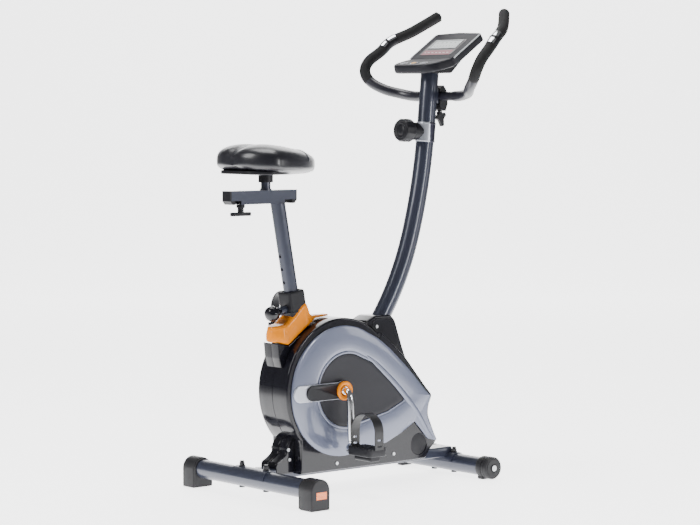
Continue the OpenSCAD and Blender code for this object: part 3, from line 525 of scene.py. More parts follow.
def knob_profile(radius, low, high, edge, foot=None):
    """A solid disc with rounded edges, from its axis out and back to its axis."""
    foot = edge if foot is None else foot
    turn = np.linspace(0, math.pi / 2, 6)
    points = [(0.05, low), (max(radius - foot - 1.0, 0.06), low)]
    points += [(radius - foot + foot * math.sin(a), low + foot - foot * math.cos(a)) for a in turn]
    points += [(radius - edge + edge * math.cos(a), high - edge + edge * math.sin(a)) for a in turn]
    points += [(max(radius - edge - 1.0, 0.06), high), (0.05, high)]
    return points


def smooth_path(points, steps):
    """A smooth curve through the points."""
    p = np.asarray(points, float)
    made = []
    for i in range(len(p) - 1):
        a, b, c, d = p[max(i - 1, 0)], p[i], p[i + 1], p[min(i + 2, len(p) - 1)]
        for t in np.arange(steps) / steps:
            bend, twist = 2 * a - 5 * b + 4 * c - d, 3 * b - a - 3 * c + d
            made.append(0.5 * (2 * b + (c - a) * t + bend * t**2 + twist * t**3))
    return np.array(made + [p[-1]])


def tube(path, radius, around=32, edge=1.0, reference=(1.0, 0.0, -0.6), flat=1.0):
    """A round bar along a path, with rounded ends. radius is one number or one for each point; flat
    squeezes the section along the reference direction."""
    path = np.asarray(path, float)
    radius = np.broadcast_to(np.asarray(radius, float), len(path)).copy()
    tangent = unit(np.gradient(path, axis=0))
    u = unit(np.cross(tangent, np.asarray(reference, float)))
    v = np.cross(tangent, u)
    angle = np.linspace(0, 2 * math.pi, around, endpoint=False)
    turn = np.linspace(0, math.pi / 2, 5)
    rings = []

    def ring(i, shift, r):
        centre = path[i] + tangent[i] * shift
        rings.append(centre + r * (np.cos(angle)[:, None] * u[i] + flat * np.sin(angle)[:, None] * v[i]))

    ring(0, 0.0, radius[0] - edge - min(0.8, 0.3 * radius[0]))
    for a in turn[:-1]:
        ring(0, edge * (1 - math.cos(a)), radius[0] - edge + edge * math.sin(a))
    from_ends = np.minimum(np.linalg.norm(path - path[0], axis=1), np.linalg.norm(path - path[-1], axis=1))
    for i in np.flatnonzero(from_ends > edge):
        ring(i, 0.0, radius[i])
    for a in turn[:-1][::-1]:
        ring(-1, -edge * (1 - math.cos(a)), radius[-1] - edge + edge * math.sin(a))
    ring(-1, 0.0, radius[-1] - edge - min(0.8, 0.3 * radius[-1]))
    return [skin(rings)]


def finish_node(names, finish, bevel=0.0):
    """Gives plain frame nodes their finish, and a small rounded edge where one shows."""
    for name in names:
        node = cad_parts[name]
        node.data.materials.clear()
        node.data.materials.append(finish.material)
        if bevel:
            weld = node.modifiers.new("weld", "WELD")
            weld.merge_threshold = 0.00002
            rounding = node.modifiers.new("rounding", "BEVEL")
            rounding.width, rounding.segments, rounding.limit_method = bevel * MM, 2, "ANGLE"
            rounding.angle_limit, rounding.harden_normals = math.radians(40), False


print("surface helpers ready")

# %% [markdown]
# ## Places that many pieces share
#
# The seat axis leans back, the handlebar post bends twice on its way up, and the cranks turn about one
# line across the bike. Each placement below is a function from a piece's own x, y, z to the bike.

# %% Placements
CRANK = np.array([243.0, 267.0])
CRANK_LENGTH = 150
DRUM = np.array([248.0, 270.0])
SEAT_TOP = np.array([80.0, 0.0, 765.0])
SEAT_LEAN = math.radians(10.6)
SEAT_UP = np.array([-math.sin(SEAT_LEAN), 0.0, math.cos(SEAT_LEAN)])
ACROSS = np.array([0.0, 1.0, 0.0])
seat_place = frame_at(SEAT_TOP, SEAT_UP, ACROSS)
pin_place = frame_at(SEAT_TOP - 282 * SEAT_UP, [-math.cos(SEAT_LEAN), 0, -math.sin(SEAT_LEAN)], ACROSS)


def across(x, z):
    """Local z runs to the bike's left, from the middle plane."""
    return lambda local: np.stack([x + local[..., 0], local[..., 2], z + local[..., 1]], -1)


def post_line():
    """Centreline of the handlebar post: straight, a close bend, a wide bend, straight."""
    def on(centre, radius, degrees):
        return np.array([centre[0] + radius * math.cos(math.radians(degrees)),
            centre[1] + radius * math.sin(math.radians(degrees))])

    foot = np.array([440.0, 450.0])
    first = foot - (on((0, 0), 750, -35))
    middle = on(first, 750, -17)
    second = middle - on((0, 0), 1440, -17)
    top = on(second, 1440, -5.5)
    low = foot - 84 * np.array([math.sin(math.radians(35)), math.cos(math.radians(35))])
    high = top + 168 * np.array([math.sin(math.radians(5.5)), math.cos(math.radians(5.5))])
    line = np.vstack([[low, (low + foot) / 2], arc(first, 750, -35, -17, 22), arc(second, 1440, -17, -5.5, 18)[1:],
        [top + (high - top) * 0.33, top + (high - top) * 0.66, high]])
    return np.column_stack([line[:, 0], np.zeros(len(line)), line[:, 1]]), top


POST_LINE, POST_TOP = post_line()
TENSION = np.array([POST_TOP[0] + (942 - POST_TOP[1]) * math.tan(math.radians(5.5)), 0, 942.0])
tension_place = frame_at(TENSION, [-math.cos(math.radians(4)), 0, math.sin(math.radians(4))], ACROSS)
band_place = frame_at(TENSION, [math.sin(math.radians(5.5)), 0, math.cos(math.radians(5.5))], ACROSS)
print("post runs from", POST_LINE[0].round(), "to", POST_LINE[-1].round())

# %% [markdown]
# ## Frame, stabilisers and feet
#
# The welded tubes stay as the engineering part draws them, with the coat of paint over them. The rubber
# feet are new pieces: a boot that is round on top, flat underneath, and stepped where it grips the tube.

# %% Frame and feet
finish_node(["base_tube", "head_stub", "seat_tube", "bottom_bracket", "brake_arm", "seat_post", "seat_slider"],
    frame_paint)
finish_node(["rear_stabiliser", "front_stabiliser"], frame_paint)
finish_node(["frame_bolts"], fastener_black, bevel=0.5)
finish_node(["cover_screws", "crank_bearings", "flywheel_axle", "crank_axle"], zinc)
finish_node(["reflectors"], reflector, bevel=0.5)
finish_node(["drive_pulley", "post_bushing"], satin_black)
finish_node(["drive_belt"], belt_rubber)
finish_node(["tension_cable"], cable_jacket)
finish_node(["flywheel"], flywheel_iron)

boot = np.vstack([arc((0, 50), 30.5, 0, 180, 40), soften([[-30.4, 49], [-30.4, 0.2], [30.4, 0.2], [30.4, 49]],
    4)[9:-9]])
boot_skins = slab(boot, 221, 269.8, 3.5) + slab(inset(anticlockwise(boot), 2.2), 215.2, 222, 1.2)
end_caps = piece("rear_boots", both(boot_skins), foot_rubber, "frame", ["rear_end_caps"])
window = slab([[-14.2, 28.8], [20.2, 28.8], [20.2, 48.2], [-14.2, 48.2]], 266.9, 280, 0.3)
cut(end_caps, both(window))

wheel = [(5.3, 174.7), (28.6, 174.7), (30.4, 176.8), (30.4, 183.2), (29.4, 184.2), (29.4, 185.6), (30.4, 186.6),
    (30.4, 193.0), (28.4, 196.2), (24.6, 196.4), (23.8, 197.9), (12.0, 197.9), (11.0, 196.6), (9.2, 196.6),
    (8.6, 198.1), (5.3, 198.1)]
roller = turned(wheel, across(672, 32), loop=True)
piece("right_wheel", mirrored(roller), foot_rubber, "right_roller", ["right_roller"])
piece("left_wheel", roller, foot_rubber, "left_roller", ["left_roller"])
holder = turned([(0.05, 154.2), (27, 154.2), (29.2, 155), (30, 157), (30, 171), (29, 173.2), (9, 173.3),
    (0.05, 173.3)], across(672, 32))
foot_block = slab(soften([[652.2, 0.2], [691.8, 0.2], [691.8, 30], [652.2, 30]], 4), 154.2, 173.2, 1.5)
piece("front_boots", both(holder + foot_block), foot_rubber, "frame", ["front_end_caps"])

# %% [markdown]
# ## The casing
#
# The two halves are mirror images that meet on the middle plane. Each is a shell three millimetres thick:
# one closed skin that starts at the joint, runs out over the rim, turns onto the side, shrinks to the hole
# round the crank, and comes back on the inside. A small groove at the joint catches a line of shadow.
# The holes for the seat tube and for the moulded dimple at the front are cut afterwards.

# %% Casing halves
case = np.vstack([soften([[109, 56], [548, 56], [562, 78], [590, 103], [574, 136], [557, 174], [559, 200],
    [572, 228], [548, 253], [478, 334], [398, 403], [300, 470]], 9)[8:-8], arc(DRUM, 187, 46, 222, 150),
    [[109.2, 128], [109, 90], [109.2, 56.2]]])
case = anticlockwise(case)


def spread(outline, spacing):
    """Points at even spacing along an outline, with its own points kept."""
    made = []
    for a, b in zip(outline, np.roll(outline, -1, 0)):
        steps = max(1, int(np.linalg.norm(b - a) / spacing))
        made.extend(a + (b - a) * t for t in np.arange(steps) / steps)
    return np.array(made)


case = spread(case, 9.0)
from_crank = case - CRANK
turn_in = unit(from_crank)


def case_ring(inwards, height):
    return sideways(np.column_stack([inset(case, inwards), np.full(len(case), height)]))


def crank_ring(radius, height):
    return sideways(np.column_stack([CRANK + turn_in * radius, np.full(len(case), height)]))


edge = 4.5
quarter = np.linspace(0, math.pi / 2, 6)
shell = [case_ring(3.0, 0.3), case_ring(1.3, 0.3), case_ring(0.0, 1.6), case_ring(0.0, 30.0)]
shell += [case_ring(edge * (1 - math.cos(a)), 60 - edge + edge * math.sin(a)) for a in quarter]
shell += [case_ring(edge + 0.8, 60.0), crank_ring(40, 60.0), crank_ring(29, 60.0), crank_ring(27, 59.0),
    crank_ring(27, 58.0), crank_ring(30, 57.0), case_ring(edge + 3, 57.0), case_ring(edge, 56.2),
    case_ring(3.0, 54.0), case_ring(3.0, 30.0)]
skirt = slab(soften([[110, 56.5], [110, 158], [98, 150], [84, 132], [82, 110], [66, 97], [49, 88], [46, 78],
    [50, 56.5]], 8), 0.3, 31.8, 4.0)
pedestal = slab(soften([[56, 399], [60, 360], [68, 335], [84, 338], [104, 372], [121, 387], [117, 407], [92, 390.4],
    [76, 394]], 2.2), 0.3, 29.8, 1.4)
pedestal += slab(soften([[60, 360], [68, 335], [84, 338], [104, 372], [152, 415], [190, 439], [186, 448],
    [140, 422.6], [92, 390.4]], 2.2), 25.4, 29.7, 1.0)
tube_way = turned([(0.05, -720), (24, -720), (24, -300), (0.05, -300)], seat_place)
dimple = turned([(0.05, 57.6), (26.5, 57.6), (28.6, 58.2), (30.2, 60.2), (30.6, 62), (0.05, 62)], across(522, 98))
for side, turn in (("left", lambda s: s), ("right", mirrored)):
    half = piece(side + "_casing", turn([skin(shell, loop=True)]), gloss_black, "frame", [side + "_cover"])
    cut(half, turn(tube_way + dimple))
    piece(side + "_heel", turn(skirt), gloss_black)
    piece(side + "_pedestal", turn(pedestal), gloss_black)
dimple_floor = turned([(0.05, 57.0), (28.0, 57.0), (28.0, 58.0), (26.4, 58.4), (0.05, 58.4)], across(522, 98))
piece("casing_dimples", both(dimple_floor), satin_black)
print("casing points", len(case) * len(shell))

# %% [markdown]
# ## The grey ring, the fin and the black teardrop
#
# Seen from the side the ring is what lies between two outlines, so it is drawn in polar form about the
# crank: for each direction, the surface runs from the inner outline to the outer one. Its section is a
# narrow flat lip, a shallow groove and a long crown, which gives the pale line round the inner edge and the
# soft band of light on the crown. A raised crease sweeps off the ring's top down to the tip of the fin.

# %% Ring, fin, crease and teardrop
RING = np.vstack([[[402, 114], [456, 136], [506, 163], [536, 196], [560, 229], [546, 240], [482, 306], [413, 367],
    [372, 396]], arc((248, 265), 172.5, 60, 278, 110)])
PANEL = np.vstack([soften([[300, 150], [420, 206], [470, 226], [440, 262], [362, 326], [300, 360]], 16)[8:-8],
    arc((262, 266), 96, 62, 294, 60)])


def reach(outline, directions):
    """How far the outline is from the crank in each direction: where the ray crosses one of its sides."""
    a = outline - CRANK
    e = np.roll(a, -1, 0) - a
    d = np.stack([np.cos(directions), np.sin(directions)], -1)[:, None]
    det = e[None, :, 0] * d[..., 1] - e[None, :, 1] * d[..., 0]
    det = np.where(np.abs(det) < 1e-9, 1e-9, det)
    far = (e[None, :, 0] * a[None, :, 1] - e[None, :, 1] * a[None, :, 0]) / det
    along = (d[..., 0] * a[None, :, 1] - d[..., 1] * a[None, :, 0]) / det
    return np.where((along >= -1e-9) & (along <= 1 + 1e-9) & (far > 0), far, 0).max(1)


directions = np.sort(np.concatenate([np.linspace(0, 2 * math.pi, 480, endpoint=False),
    np.radians(np.linspace(-26, 18, 160)) % (2 * math.pi)]))
outer, inner = reach(RING, directions), reach(PANEL, directions) + 0.3
ray = np.stack([np.cos(directions), np.sin(directions)], -1)


def ring_at(radius, height):
    return sideways(np.column_stack([CRANK + ray * radius[:, None], np.broadcast_to(height, radius.shape)]))


lip = np.minimum(7.0, 0.3 * (outer - inner))
rings = [ring_at(inner, 60.1), ring_at(inner, 64.6), ring_at(inner + 0.5, 65.7), ring_at(inner + 1.4, 66.2),
    ring_at(inner + lip - 1.4, 66.3), ring_at(inner + lip - 0.4, 65.9), ring_at(inner + lip + 0.4, 64.7)]
for v in np.linspace(0.06, 0.94, 11):
    crown = 64.6 + 3.3 * np.sin(math.pi * (0.1 + 0.86 * v)) ** 0.8
    rings.append(ring_at(inner + lip + (outer - inner - lip) * v, crown))
rings += [ring_at(outer - 1.0, 64.9), ring_at(outer - 0.3, 64.2), ring_at(outer, 63.2), ring_at(outer, 60.1)]
ring_skin = [skin(rings, loop=True)]
fin = slab(soften([[494, 172], [551, 110.5], [581, 103], [584, 106], [566, 137], [548.6, 174], [550.6, 200],
    [562.6, 228], [544, 232], [512, 210]], 7), 60.1, 65.6, 2.2)
crease_line = smooth_path([[330, 66.0, 352], [362, 66.3, 329], [398, 66.5, 299], [432, 66.5, 269], [468, 66.3, 233],
    [503, 66.0, 195], [530, 65.6, 159], [552, 65.2, 127], [570, 64.8, 108.5]], 8)
width = np.interp(np.linspace(0, 1, len(crease_line)), [0, 0.15, 0.6, 1], [2.5, 6.5, 8.5, 4.0])
crease = tube(crease_line, width, 28, edge=1.5, reference=(0, 1, 0), flat=0.34)
piece("grey_swoosh", both(ring_skin + fin + crease), side_grey, "frame", ["side_rings"], sharp=50)

panel_ring = [ring_at(inner - 0.8 - i, h) for i, h in [(1.6, 60.1), (0, 60.1), (0, 63.6), (0.6, 64.4), (1.8, 64.7)]]
same = np.ones(len(inner))
panel_ring += [ring_at(inner * 0.9, 64.3), ring_at(inner * 0.72, 63.6), ring_at(inner * 0.5, 63.2),
    ring_at(17.0 * same, 63.0), ring_at(16.5 * same, 62.0), ring_at(16.5 * same, 60.1)]
piece("teardrop_panels", both([skin(panel_ring, loop=True)]), console_black, "frame", ["side_panels"], "satin_black")


def pill(end_x, half, hub):
    """A bar with a round end at the back that widens to the hub's own circle."""
    meet = math.degrees(math.pi - math.asin(half / hub))
    return np.vstack([arc((end_x, CRANK[1]), half, 90, 270, 28), arc(CRANK, hub, -meet, meet, 40)])


axle_way = turned([(0.05, 55), (16, 55), (16, 95), (0.05, 95)], across(*CRANK))
badge = piece("bar_ends", both(slab(pill(101, 22.5, 26.0), 65.1, 70.6, 2.0)), satin_silver, "frame", ["hub_bars"])
bar = piece("bars", both(slab(pill(139, 21.0, 26.5), 69.8, 75.2, 2.6)), satin_black)
for thing in (badge, bar):
    cut(thing, both(axle_way))
hub_section = [(13.2, 72.4), (24.6, 72.4), (25.5, 73.6), (25.5, 78.6), (24.6, 80.6), (22.8, 81.9), (20.6, 82.1),
    (17.0, 80.9), (14.6, 78.4), (13.2, 75.0)]
piece("hub_collars", both(turned(hub_section, across(*CRANK), loop=True)), orange_gloss, "frame", ["hub_rings"],
    sharp=60)

# %% [markdown]
# ## Cranks, pedals and straps
#
# The crank is one bent rod with a flattened eye, chromed after forging. The pedal is a moulded frame with
# ribs and a weight underneath that keeps the tread level. The strap is a vinyl band with slots in its legs.

# %% Cranks
arm = tube(smooth_path([[243, 75, 267], [243, 82, 267], [243, 89, 265.5], [243, 94.5, 260], [243, 97.5, 250],
    [243, 99.5, 225], [243, 103.5, 132]], 8), np.concatenate([np.full(25, 8.6), np.linspace(8.6, 9.4, 24)]), 32,
    edge=2.0, reference=(1, 0, 0))
eye = turned(knob_profile(13, 95.2, 112.8, 3.0), across(243, 117))
neck = turned([(0.05, 112), (9, 112), (9, 115.6), (8.2, 116.8), (6, 117), (6, 207.5), (0.05, 208)], across(243, 117))
boss = turned([(10.05, 70.3), (11.2, 70.3), (12, 71.2), (12, 78), (10.6, 80), (4, 81), (0.05, 81)], across(*CRANK))
crank_skins = arm + eye + neck + boss


def flipped(skins):
    """The same skins half a turn round the crank's axis, at the top of the stroke."""
    return [(np.asarray(points) * [1, 1, -1] + [0, 0, 2 * CRANK[1]], faces) for points, faces in skins]


piece("right_crank_arm", mirrored(crank_skins), chrome, "crank", ["right_crank"])
piece("left_crank_arm", flipped(crank_skins), chrome, "crank", ["left_crank"])

# %% Pedals and straps
def tread(width, depth, radius, x=243.0, y=167.0):
    return round_outline(width, depth, radius) + [x, y]


pedal = hoop(tread(60, 90, 9), tread(46, 76, 5), 106.4, 127.6, 2.2, upright)
pedal += tube([[243, 122.4, 117], [243, 140, 117], [243, 190, 117], [243, 211.6, 117]], 10.5, 32, edge=1.5)
for y in (142, 192):
    pedal += slab(tread(50, 7, 2, y=y), 108.4, 125.6, 1.2, upright)
for x in (225.5, 260.5):
    pedal += slab(tread(7, 80, 2, x=x), 107.4, 126.6, 1.2, upright)
for x in (215.6, 270.4):
    for y in np.linspace(128, 206, 9):
        pedal += slab(tread(4.4, 5.0, 1, x=x, y=y), 125.0, 129.0, 0.9, upright, steps=3)
for y in (123.8, 210.2):
    for x in np.linspace(222, 264, 6):
        pedal += slab(tread(4.4, 3.6, 1, x=x, y=y), 125.0, 128.8, 0.9, upright, steps=3)
weight_outline = soften([[226, 92.2], [260, 92.2], [260, 108], [226, 108]], 7)
pedal += slab(weight_outline, 134, 200, 3.5)


def ribbon(line, half_width, thickness):
    """A flat band along a line in the plane across the bike, with rounded edges."""
    line = np.asarray(line, float)
    tangent = unit(np.gradient(line, axis=0))
    normal = np.column_stack([-tangent[:, 1], tangent[:, 0]])
    section = soften([[-half_width, -thickness / 2], [half_width, -thickness / 2], [half_width, thickness / 2],
        [-half_width, thickness / 2]], thickness * 0.45, 4)
    rings = [np.column_stack([243 + section[:, 0], p[0] + n[0] * section[:, 1], p[1] + n[1] * section[:, 1]]) for p,
        n in zip(line, normal)]
    return [skin(rings)]


loop_line = np.vstack([[[119.8, z] for z in np.linspace(124.2, 162, 6)], arc((167, 168), 47.2, 180, 0, 48),
    [[214.2, z] for z in np.linspace(162, 124.2, 6)]])
strap = ribbon(loop_line, 14.8, 2.8)
slots = []
for z in (134, 150):
    slots += slab(soften([[236.5, z - 2.4], [249.5, z - 2.4], [249.5, z + 2.4], [236.5, z + 2.4]], 1.5), 90, 240, 0.1)


def raised(skins):
    """The same skins two crank lengths higher, for the pedal at the top of its stroke."""
    return [(np.asarray(points) + [0, 0, 2 * CRANK_LENGTH], faces) for points, faces in skins]


for side, turn in (("right", mirrored), ("left", raised)):
    piece(side + "_tread", turn(pedal), satin_black, side + "_pedal", [side + "_pedal"])
    band = piece(side + "_band", turn(strap), strap_vinyl, side + "_pedal", [side + "_strap"])
    cut(band, turn(slots))
print("pedals made")

# %% [markdown]
# ## Seat tube cover, collar and the post's shroud
#
# The orange moulding is a saddle over the drum. It is drawn in slices across the bike: each slice has a
# bottom that lies on the drum, a top that climbs to the collar and falls away along a thin spine, and a
# width that narrows towards the front. A step part of the way up each slice is the crease that divides
# the lower band from the upper shell.

# %% Seat tube cover
slices = np.concatenate([50 + 12 * (1 - np.cos(np.linspace(0, math.pi / 2, 12))), np.linspace(64, 240, 90)])
bottom = np.interp(slices, [50, 76, 92, 118, 140, 168, 196, 241], [402, 396.6, 392, 409.5, 424.5, 443, 456.5, 460.5])
top = np.interp(slices, [50, 53, 66, 84, 96, 110, 128, 142, 150, 156, 161, 169, 182, 241],
    [434, 440.5, 444, 446.5, 455, 467, 486, 499, 503, 501, 488, 471, 465, 465])
half_width = np.where(slices < 84, np.sqrt(np.clip(34.2**2 - (84 - slices) ** 2, 1, None)),
    np.interp(slices, [84, 118, 150, 162, 174, 184, 194, 241], [34.2, 34.0, 33, 30.5, 25, 19, 14.5, 11.8]))
around = np.linspace(0, 2 * math.pi, 72, endpoint=False)
cover_slices = []
for x, low, high, w in zip(slices, bottom, top, half_width):
    c, s = np.cos(around), np.sin(around)
    bend = np.where(s > 0, 0.40, 0.30)
    y = w * np.sign(c) * np.abs(c) ** 0.40
    z = (low + high) / 2 + (high - low) / 2 * np.sign(s) * np.abs(s) ** bend
    band_top = low + np.interp(x, [50, 90, 150], [27, 26, 18])
    drawn_in = (1 / (1 + np.exp(-(z - band_top) * 1.3))) * np.interp(x, [50, 110, 160, 175], [4.5, 4.0, 2.0, 0.0])
    y = y * (1 - drawn_in / max(w, 8))
    cover_slices.append(np.column_stack([np.full(len(y), x), y, z]))
orange = piece("seat_tube_shell", [skin(cover_slices)], orange_gloss, "frame", ["seat_tube_cover"], sharp=50)
square = slab(round_outline(52.6, 52.6, 5), -345, -200, 0.2, seat_place)
bore = turned([(0.05, -440), (23.6, -440), (23.6, -330), (0.05, -330)], seat_place)
cut(orange, square)
cut(orange, bore)

# %% Collar, height pin and shroud
count = 80
angle = np.linspace(0, 2 * math.pi, count, endpoint=False)
reach_square = 26.0 / np.maximum(np.abs(np.cos(angle)) ** 10 + np.abs(np.sin(angle)) ** 10, 1e-9) ** 0.1
square_ring = np.column_stack([reach_square * np.cos(angle), reach_square * np.sin(angle)])
round_ring = np.column_stack([23.15 * np.cos(angle), 23.15 * np.sin(angle)])


def collar_ring(outline, height):
    return seat_place(np.column_stack([outline, np.full(count, height)]))


steps = [(0.0, -330), (0.0, -243.0), (0.6, -240.4), (1.8, -238.0), (2.8, -237.2)]
collar = [collar_ring(round_ring, -330)] + [collar_ring(square_ring - i * unit(square_ring), h) for i, h in steps]
collar += [collar_ring(round_ring * 1.02, -237.2), collar_ring(round_ring, -238.0)]
block = piece("post_collar", [skin(collar, loop=True)], satin_black, "frame", ["seat_collar"], "gloss_black", sharp=45)
cut(block, turned([(0.05, 8), (11.25, 8), (11.25, 60), (0.05, 60)], pin_place))
lip_outer, lip_inner = round_outline(56, 56, 6), round_outline(51.0, 51.0, 5)
piece("collar_lip", hoop(lip_outer, lip_inner, -292, -288.5, 0.8, seat_place), satin_black, "frame", slot="gloss_black")

pin = turned([(0.05, 19.6), (4.0, 20.4), (4.0, 52.2), (11.0, 52.2), (12.0, 53.2), (12.0, 60.0), (15.5, 61.2),
    (19.2, 64.5), (20.2, 69.5), (20.0, 75.0), (18.4, 81.0), (15.0, 85.6), (10.0, 87.6), (4.0, 88.2), (0.05, 88.3)],
    pin_place, scallop=lambda a, h: 1 + (0.018 * np.cos(8 * a) if 63 < h < 82 else 0 * a))
piece("height_pin", pin, gloss_black, "pop_pin", ["pop_pin"], "satin_black", sharp=55)

shroud = soften([[352, 430], [356, 440], [386, 453], [444, 452], [459, 438], [485, 366], [503, 322], [506, 304],
    [478, 336], [398, 404]], 6)
shroud_side = soften([[384, 445], [440, 445], [470, 372], [452, 352], [398, 404], [372, 424]], 10)
shroud_skins = slab(shroud, -33.8, 33.8, 5.0) + slab(shroud_side, -35.2, 35.2, 1.6)
piece("post_shroud", shroud_skins, gloss_black, "frame", ["front_shroud"], sharp=45)

# %% [markdown]
# ## Handlebar post and tension knob
#
# One steel tube, bent in two places. The band and the knob that sets the pedalling load sit half way up.
# The knob is fluted for grip, and rings are turned into its face.

# %% Post, band, knob
mast = tube(POST_LINE, 24.5, 64, edge=1.0, reference=(0, 1, 0))
plate = slab([[616.5, 1020.5], [629.8, 1020.5], [629.8, 1059.5], [617.5, 1059.5]], -20, 20, 1.2)
piece("mast", mast + plate, frame_paint, "frame", ["handlebar_post"], sharp=50)
band_silver_with_painted_shade = Finish("band_silver_with_painted_shade", (0.50, 0.52, 0.58), 0.34, metallic=0.55)
bx, by, _ = band_silver_with_painted_shade.place()
right_of_view = (bx - (TENSION[0] - MID_X) * MM) * ASIDE[0] + by * ASIDE[1]
# The band is silver; its right side as the camera sees it, past 11 mm from the post's axis, is painted dark blue-black:
# painted shade on the side away from the high left light.
band_silver_with_painted_shade.paint((0.026, 0.026, 0.046), right_of_view.step(0.0112, 0.0120))
band_silver_with_painted_shade.uneven(0.32, 0.05, 40.0)
band_section = [(24.6, -26.8), (26.0, -26.8), (26.9, -25.6), (26.9, -22.5), (26.2, -21.8), (26.2, 21.8),
    (26.9, 22.5), (26.9, 25.6), (26.0, 26.8), (24.6, 26.8)]
piece("mast_band", turned(band_section, band_place, loop=True), band_silver_with_painted_shade, "frame", ["post_band"], "satin_silver")
housing = turned([(0.05, 20.6), (16.7, 20.6), (16.7, 31), (21.5, 32.6), (23.6, 34.6), (24, 37), (24, 54.5), (23, 57),
    (21, 58), (0.05, 58.2)], tension_place)
piece("load_housing", housing, satin_black, "frame", ["tension_housing"])
knob = turned([(0.05, 59.1), (26, 59.1), (29.6, 60.2), (31.6, 63.0), (32.2, 67.0), (32.2, 84.0), (31.2, 88.6),
    (28.8, 91.6), (26.6, 92.5), (25.2, 92.4), (24.2, 91.4), (22.2, 91.2), (21.2, 92.2), (19.0, 92.2), (18.0, 91.2),
    (13.5, 91.0), (12.6, 91.9), (6.0, 92.4), (0.05, 92.5)], tension_place, 144, scallop=lambda a,
    h: 1 - (0.045 * np.abs(np.cos(6 * a)) ** 0.7 if 62 < h < 90 else 0 * a))
piece("load_knob", knob, satin_black, "tension_knob", ["tension_knob"], sharp=50)

# %% [markdown]
# ## Handlebar, foam and pulse plates
#
# The bar is one tube: straight through the clamp, out and back, then round and up into two horns. The foam
# is a thicker tube on the same line, with a rounded end. Each grip has two short metal plates on its upper
# side that feel the pulse.

# %% Handlebar
HALF_BAR = np.array([[640, 60, 1040], [640, 96, 1041], [628, 136, 1048], [600, 172, 1060], [580, 208, 1082],
    [576, 226, 1110], [592, 228, 1138], [628, 218, 1166], [660, 210, 1194], [714, 181, 1222], [770, 130, 1266]],
    float)
FINE = 12
half_line = smooth_path(HALF_BAR, FINE)
whole = np.vstack([(half_line * [1, -1, 1])[::-1], [[640, y, 1040] for y in np.linspace(-50, 50, 11)], half_line])
girth = 12.45 + 1.9 * np.clip((np.abs(whole[:, 1]) - 62) / 12, 0, 1)
piece("bar", tube(whole, girth, 36, edge=1.0), bar_black, "handlebar", ["handlebar"], "gloss_black", sharp=50)
held = half_line[4 * FINE:]
tip = unit(held[-1] - held[-2])
held = np.vstack([held[:-1], held[-1] - tip * 5.0, held[-1] - tip, held[-1] + tip * 2.5, held[-1] + tip * 4.6])
swell = np.interp(np.linspace(0, 1, len(held)), [0, 0.02, 0.05, 0.9, 1], [14.6, 15.0, 15.1, 15.1, 15.1])
swell[-3:] = (14.4, 12.2, 8.6)
piece("foam_grips", both(tube(held, swell, 40, edge=4.0)), grip_foam, "handlebar", ["grips"], sharp=60)


def half_shell(line, inner, outer, spread, toward=(-0.45, 0.0, 0.9)):
    """A curved plate that lies on one side of a tube, over 2 * spread degrees of it."""
    tangent = unit(np.gradient(line, axis=0))
    u = np.asarray(toward) - np.sum(tangent * np.asarray(toward), axis=1, keepdims=True) * tangent
    u = unit(u)
    v = np.cross(tangent, u)
    there, back = np.radians(np.linspace(-spread, spread, 18)), np.radians(np.linspace(spread, -spread, 18))
    turns, radii = np.concatenate([there, back]), np.concatenate([np.full(18, outer), np.full(18, inner)])
    return [skin([centre + radii[:, None] * (np.cos(turns)[:, None] * a + np.sin(turns)[:, None] * b) for centre, a,
        b in zip(line, u, v)])]


sensed = half_line[int(7.25 * FINE):int(8.3 * FINE) + 1]
middle = len(sensed) // 2
plates = half_shell(sensed[:middle], 14.9, 16.4, 62) + half_shell(sensed[middle + 1:], 14.9, 16.4, 62)
piece("pulse_plates", both(plates), chrome, "handlebar", ["pulse_sensors"], sharp=50)
piece("plate_holders", both(tube(sensed, 15.6, 40, edge=0.4)), satin_black, "handlebar")
finish_node(["handlebar_clamp"], satin_black, bevel=1.2)
finish_node(["clamp_knob"], satin_black, bevel=1.0)

# %% [markdown]
# ## Console
#
# The case is a round lobe that carries three buttons, and a sloping slab behind it with the display. Both
# are plates with rounded edges, each carried along the normal of its own face. The display is a grey-green
# glass in a pale frame, and the panel under it is printed in dull red.

# %% Console case
hinge = np.array([616.0, 0.0, 1142.0])
slope, dip = math.radians(34), math.atan2(18, 81)
face_place = frame_at(hinge, [-math.sin(slope), 0, math.cos(slope)], ACROSS)
lobe_place = frame_at([535, 0, 1124], [-math.sin(dip), 0, math.cos(dip)], ACROSS)
LOBE_SQUARENESS = 0.55
rim = np.radians(np.linspace(96, 264, 61))
rounded = np.column_stack([np.sign(c) * np.abs(c) ** LOBE_SQUARENESS for c in (np.cos(rim), np.sin(rim))])
lobe = np.vstack([[84.5, 0] + [88.5, 87.0] * rounded, [[92, -84], [96, -60], [96, 60], [92, 84]]])
slab_outline = np.vstack([soften([[-4, -84], [20, -90], [129, -90], [135, 0], [129, 90], [20, 90], [-4, 84]], 11)])
neck_block = slab(soften([[600, 1102], [640, 1102], [712, 1170], [700, 1186], [640, 1150], [604, 1132]], 6), -62, 62, 5)
case_skins = slab(lobe, -24.5, 0, 6, lobe_place) + slab(slab_outline, -24, 0, 5, face_place)
console = piece("console_case", case_skins, console_black, "frame", ["console_housing", "console_back"],
    "satin_black", sharp=45)
button_at = [frame_at([556, y, 1124 + 21 * math.tan(dip)], [-math.sin(dip), 0, math.cos(dip)], ACROSS) for y in (40,
    0, -40)]
for place in button_at:
    cut(console, turned([(0.05, -15), (8.5, -15), (8.5, 0.2), (9.2, 1.2), (9.2, 8), (0.05, 8)], place))
piece("console_neck", neck_block, satin_black)
button_profile = [(0.05, -9.9), (7.9, -9.9), (7.9, 1.0), (7.4, 1.9), (6.2, 2.35), (3.5, 2.5), (0.05, 2.5)]
for name, place, finish in zip(("left", "middle", "right"), button_at, (button_grey, button_amber, button_grey)):
    piece(name + "_press", turned(button_profile, place, 40), finish, name + "_button", [name + "_button"],
        "button_grey")

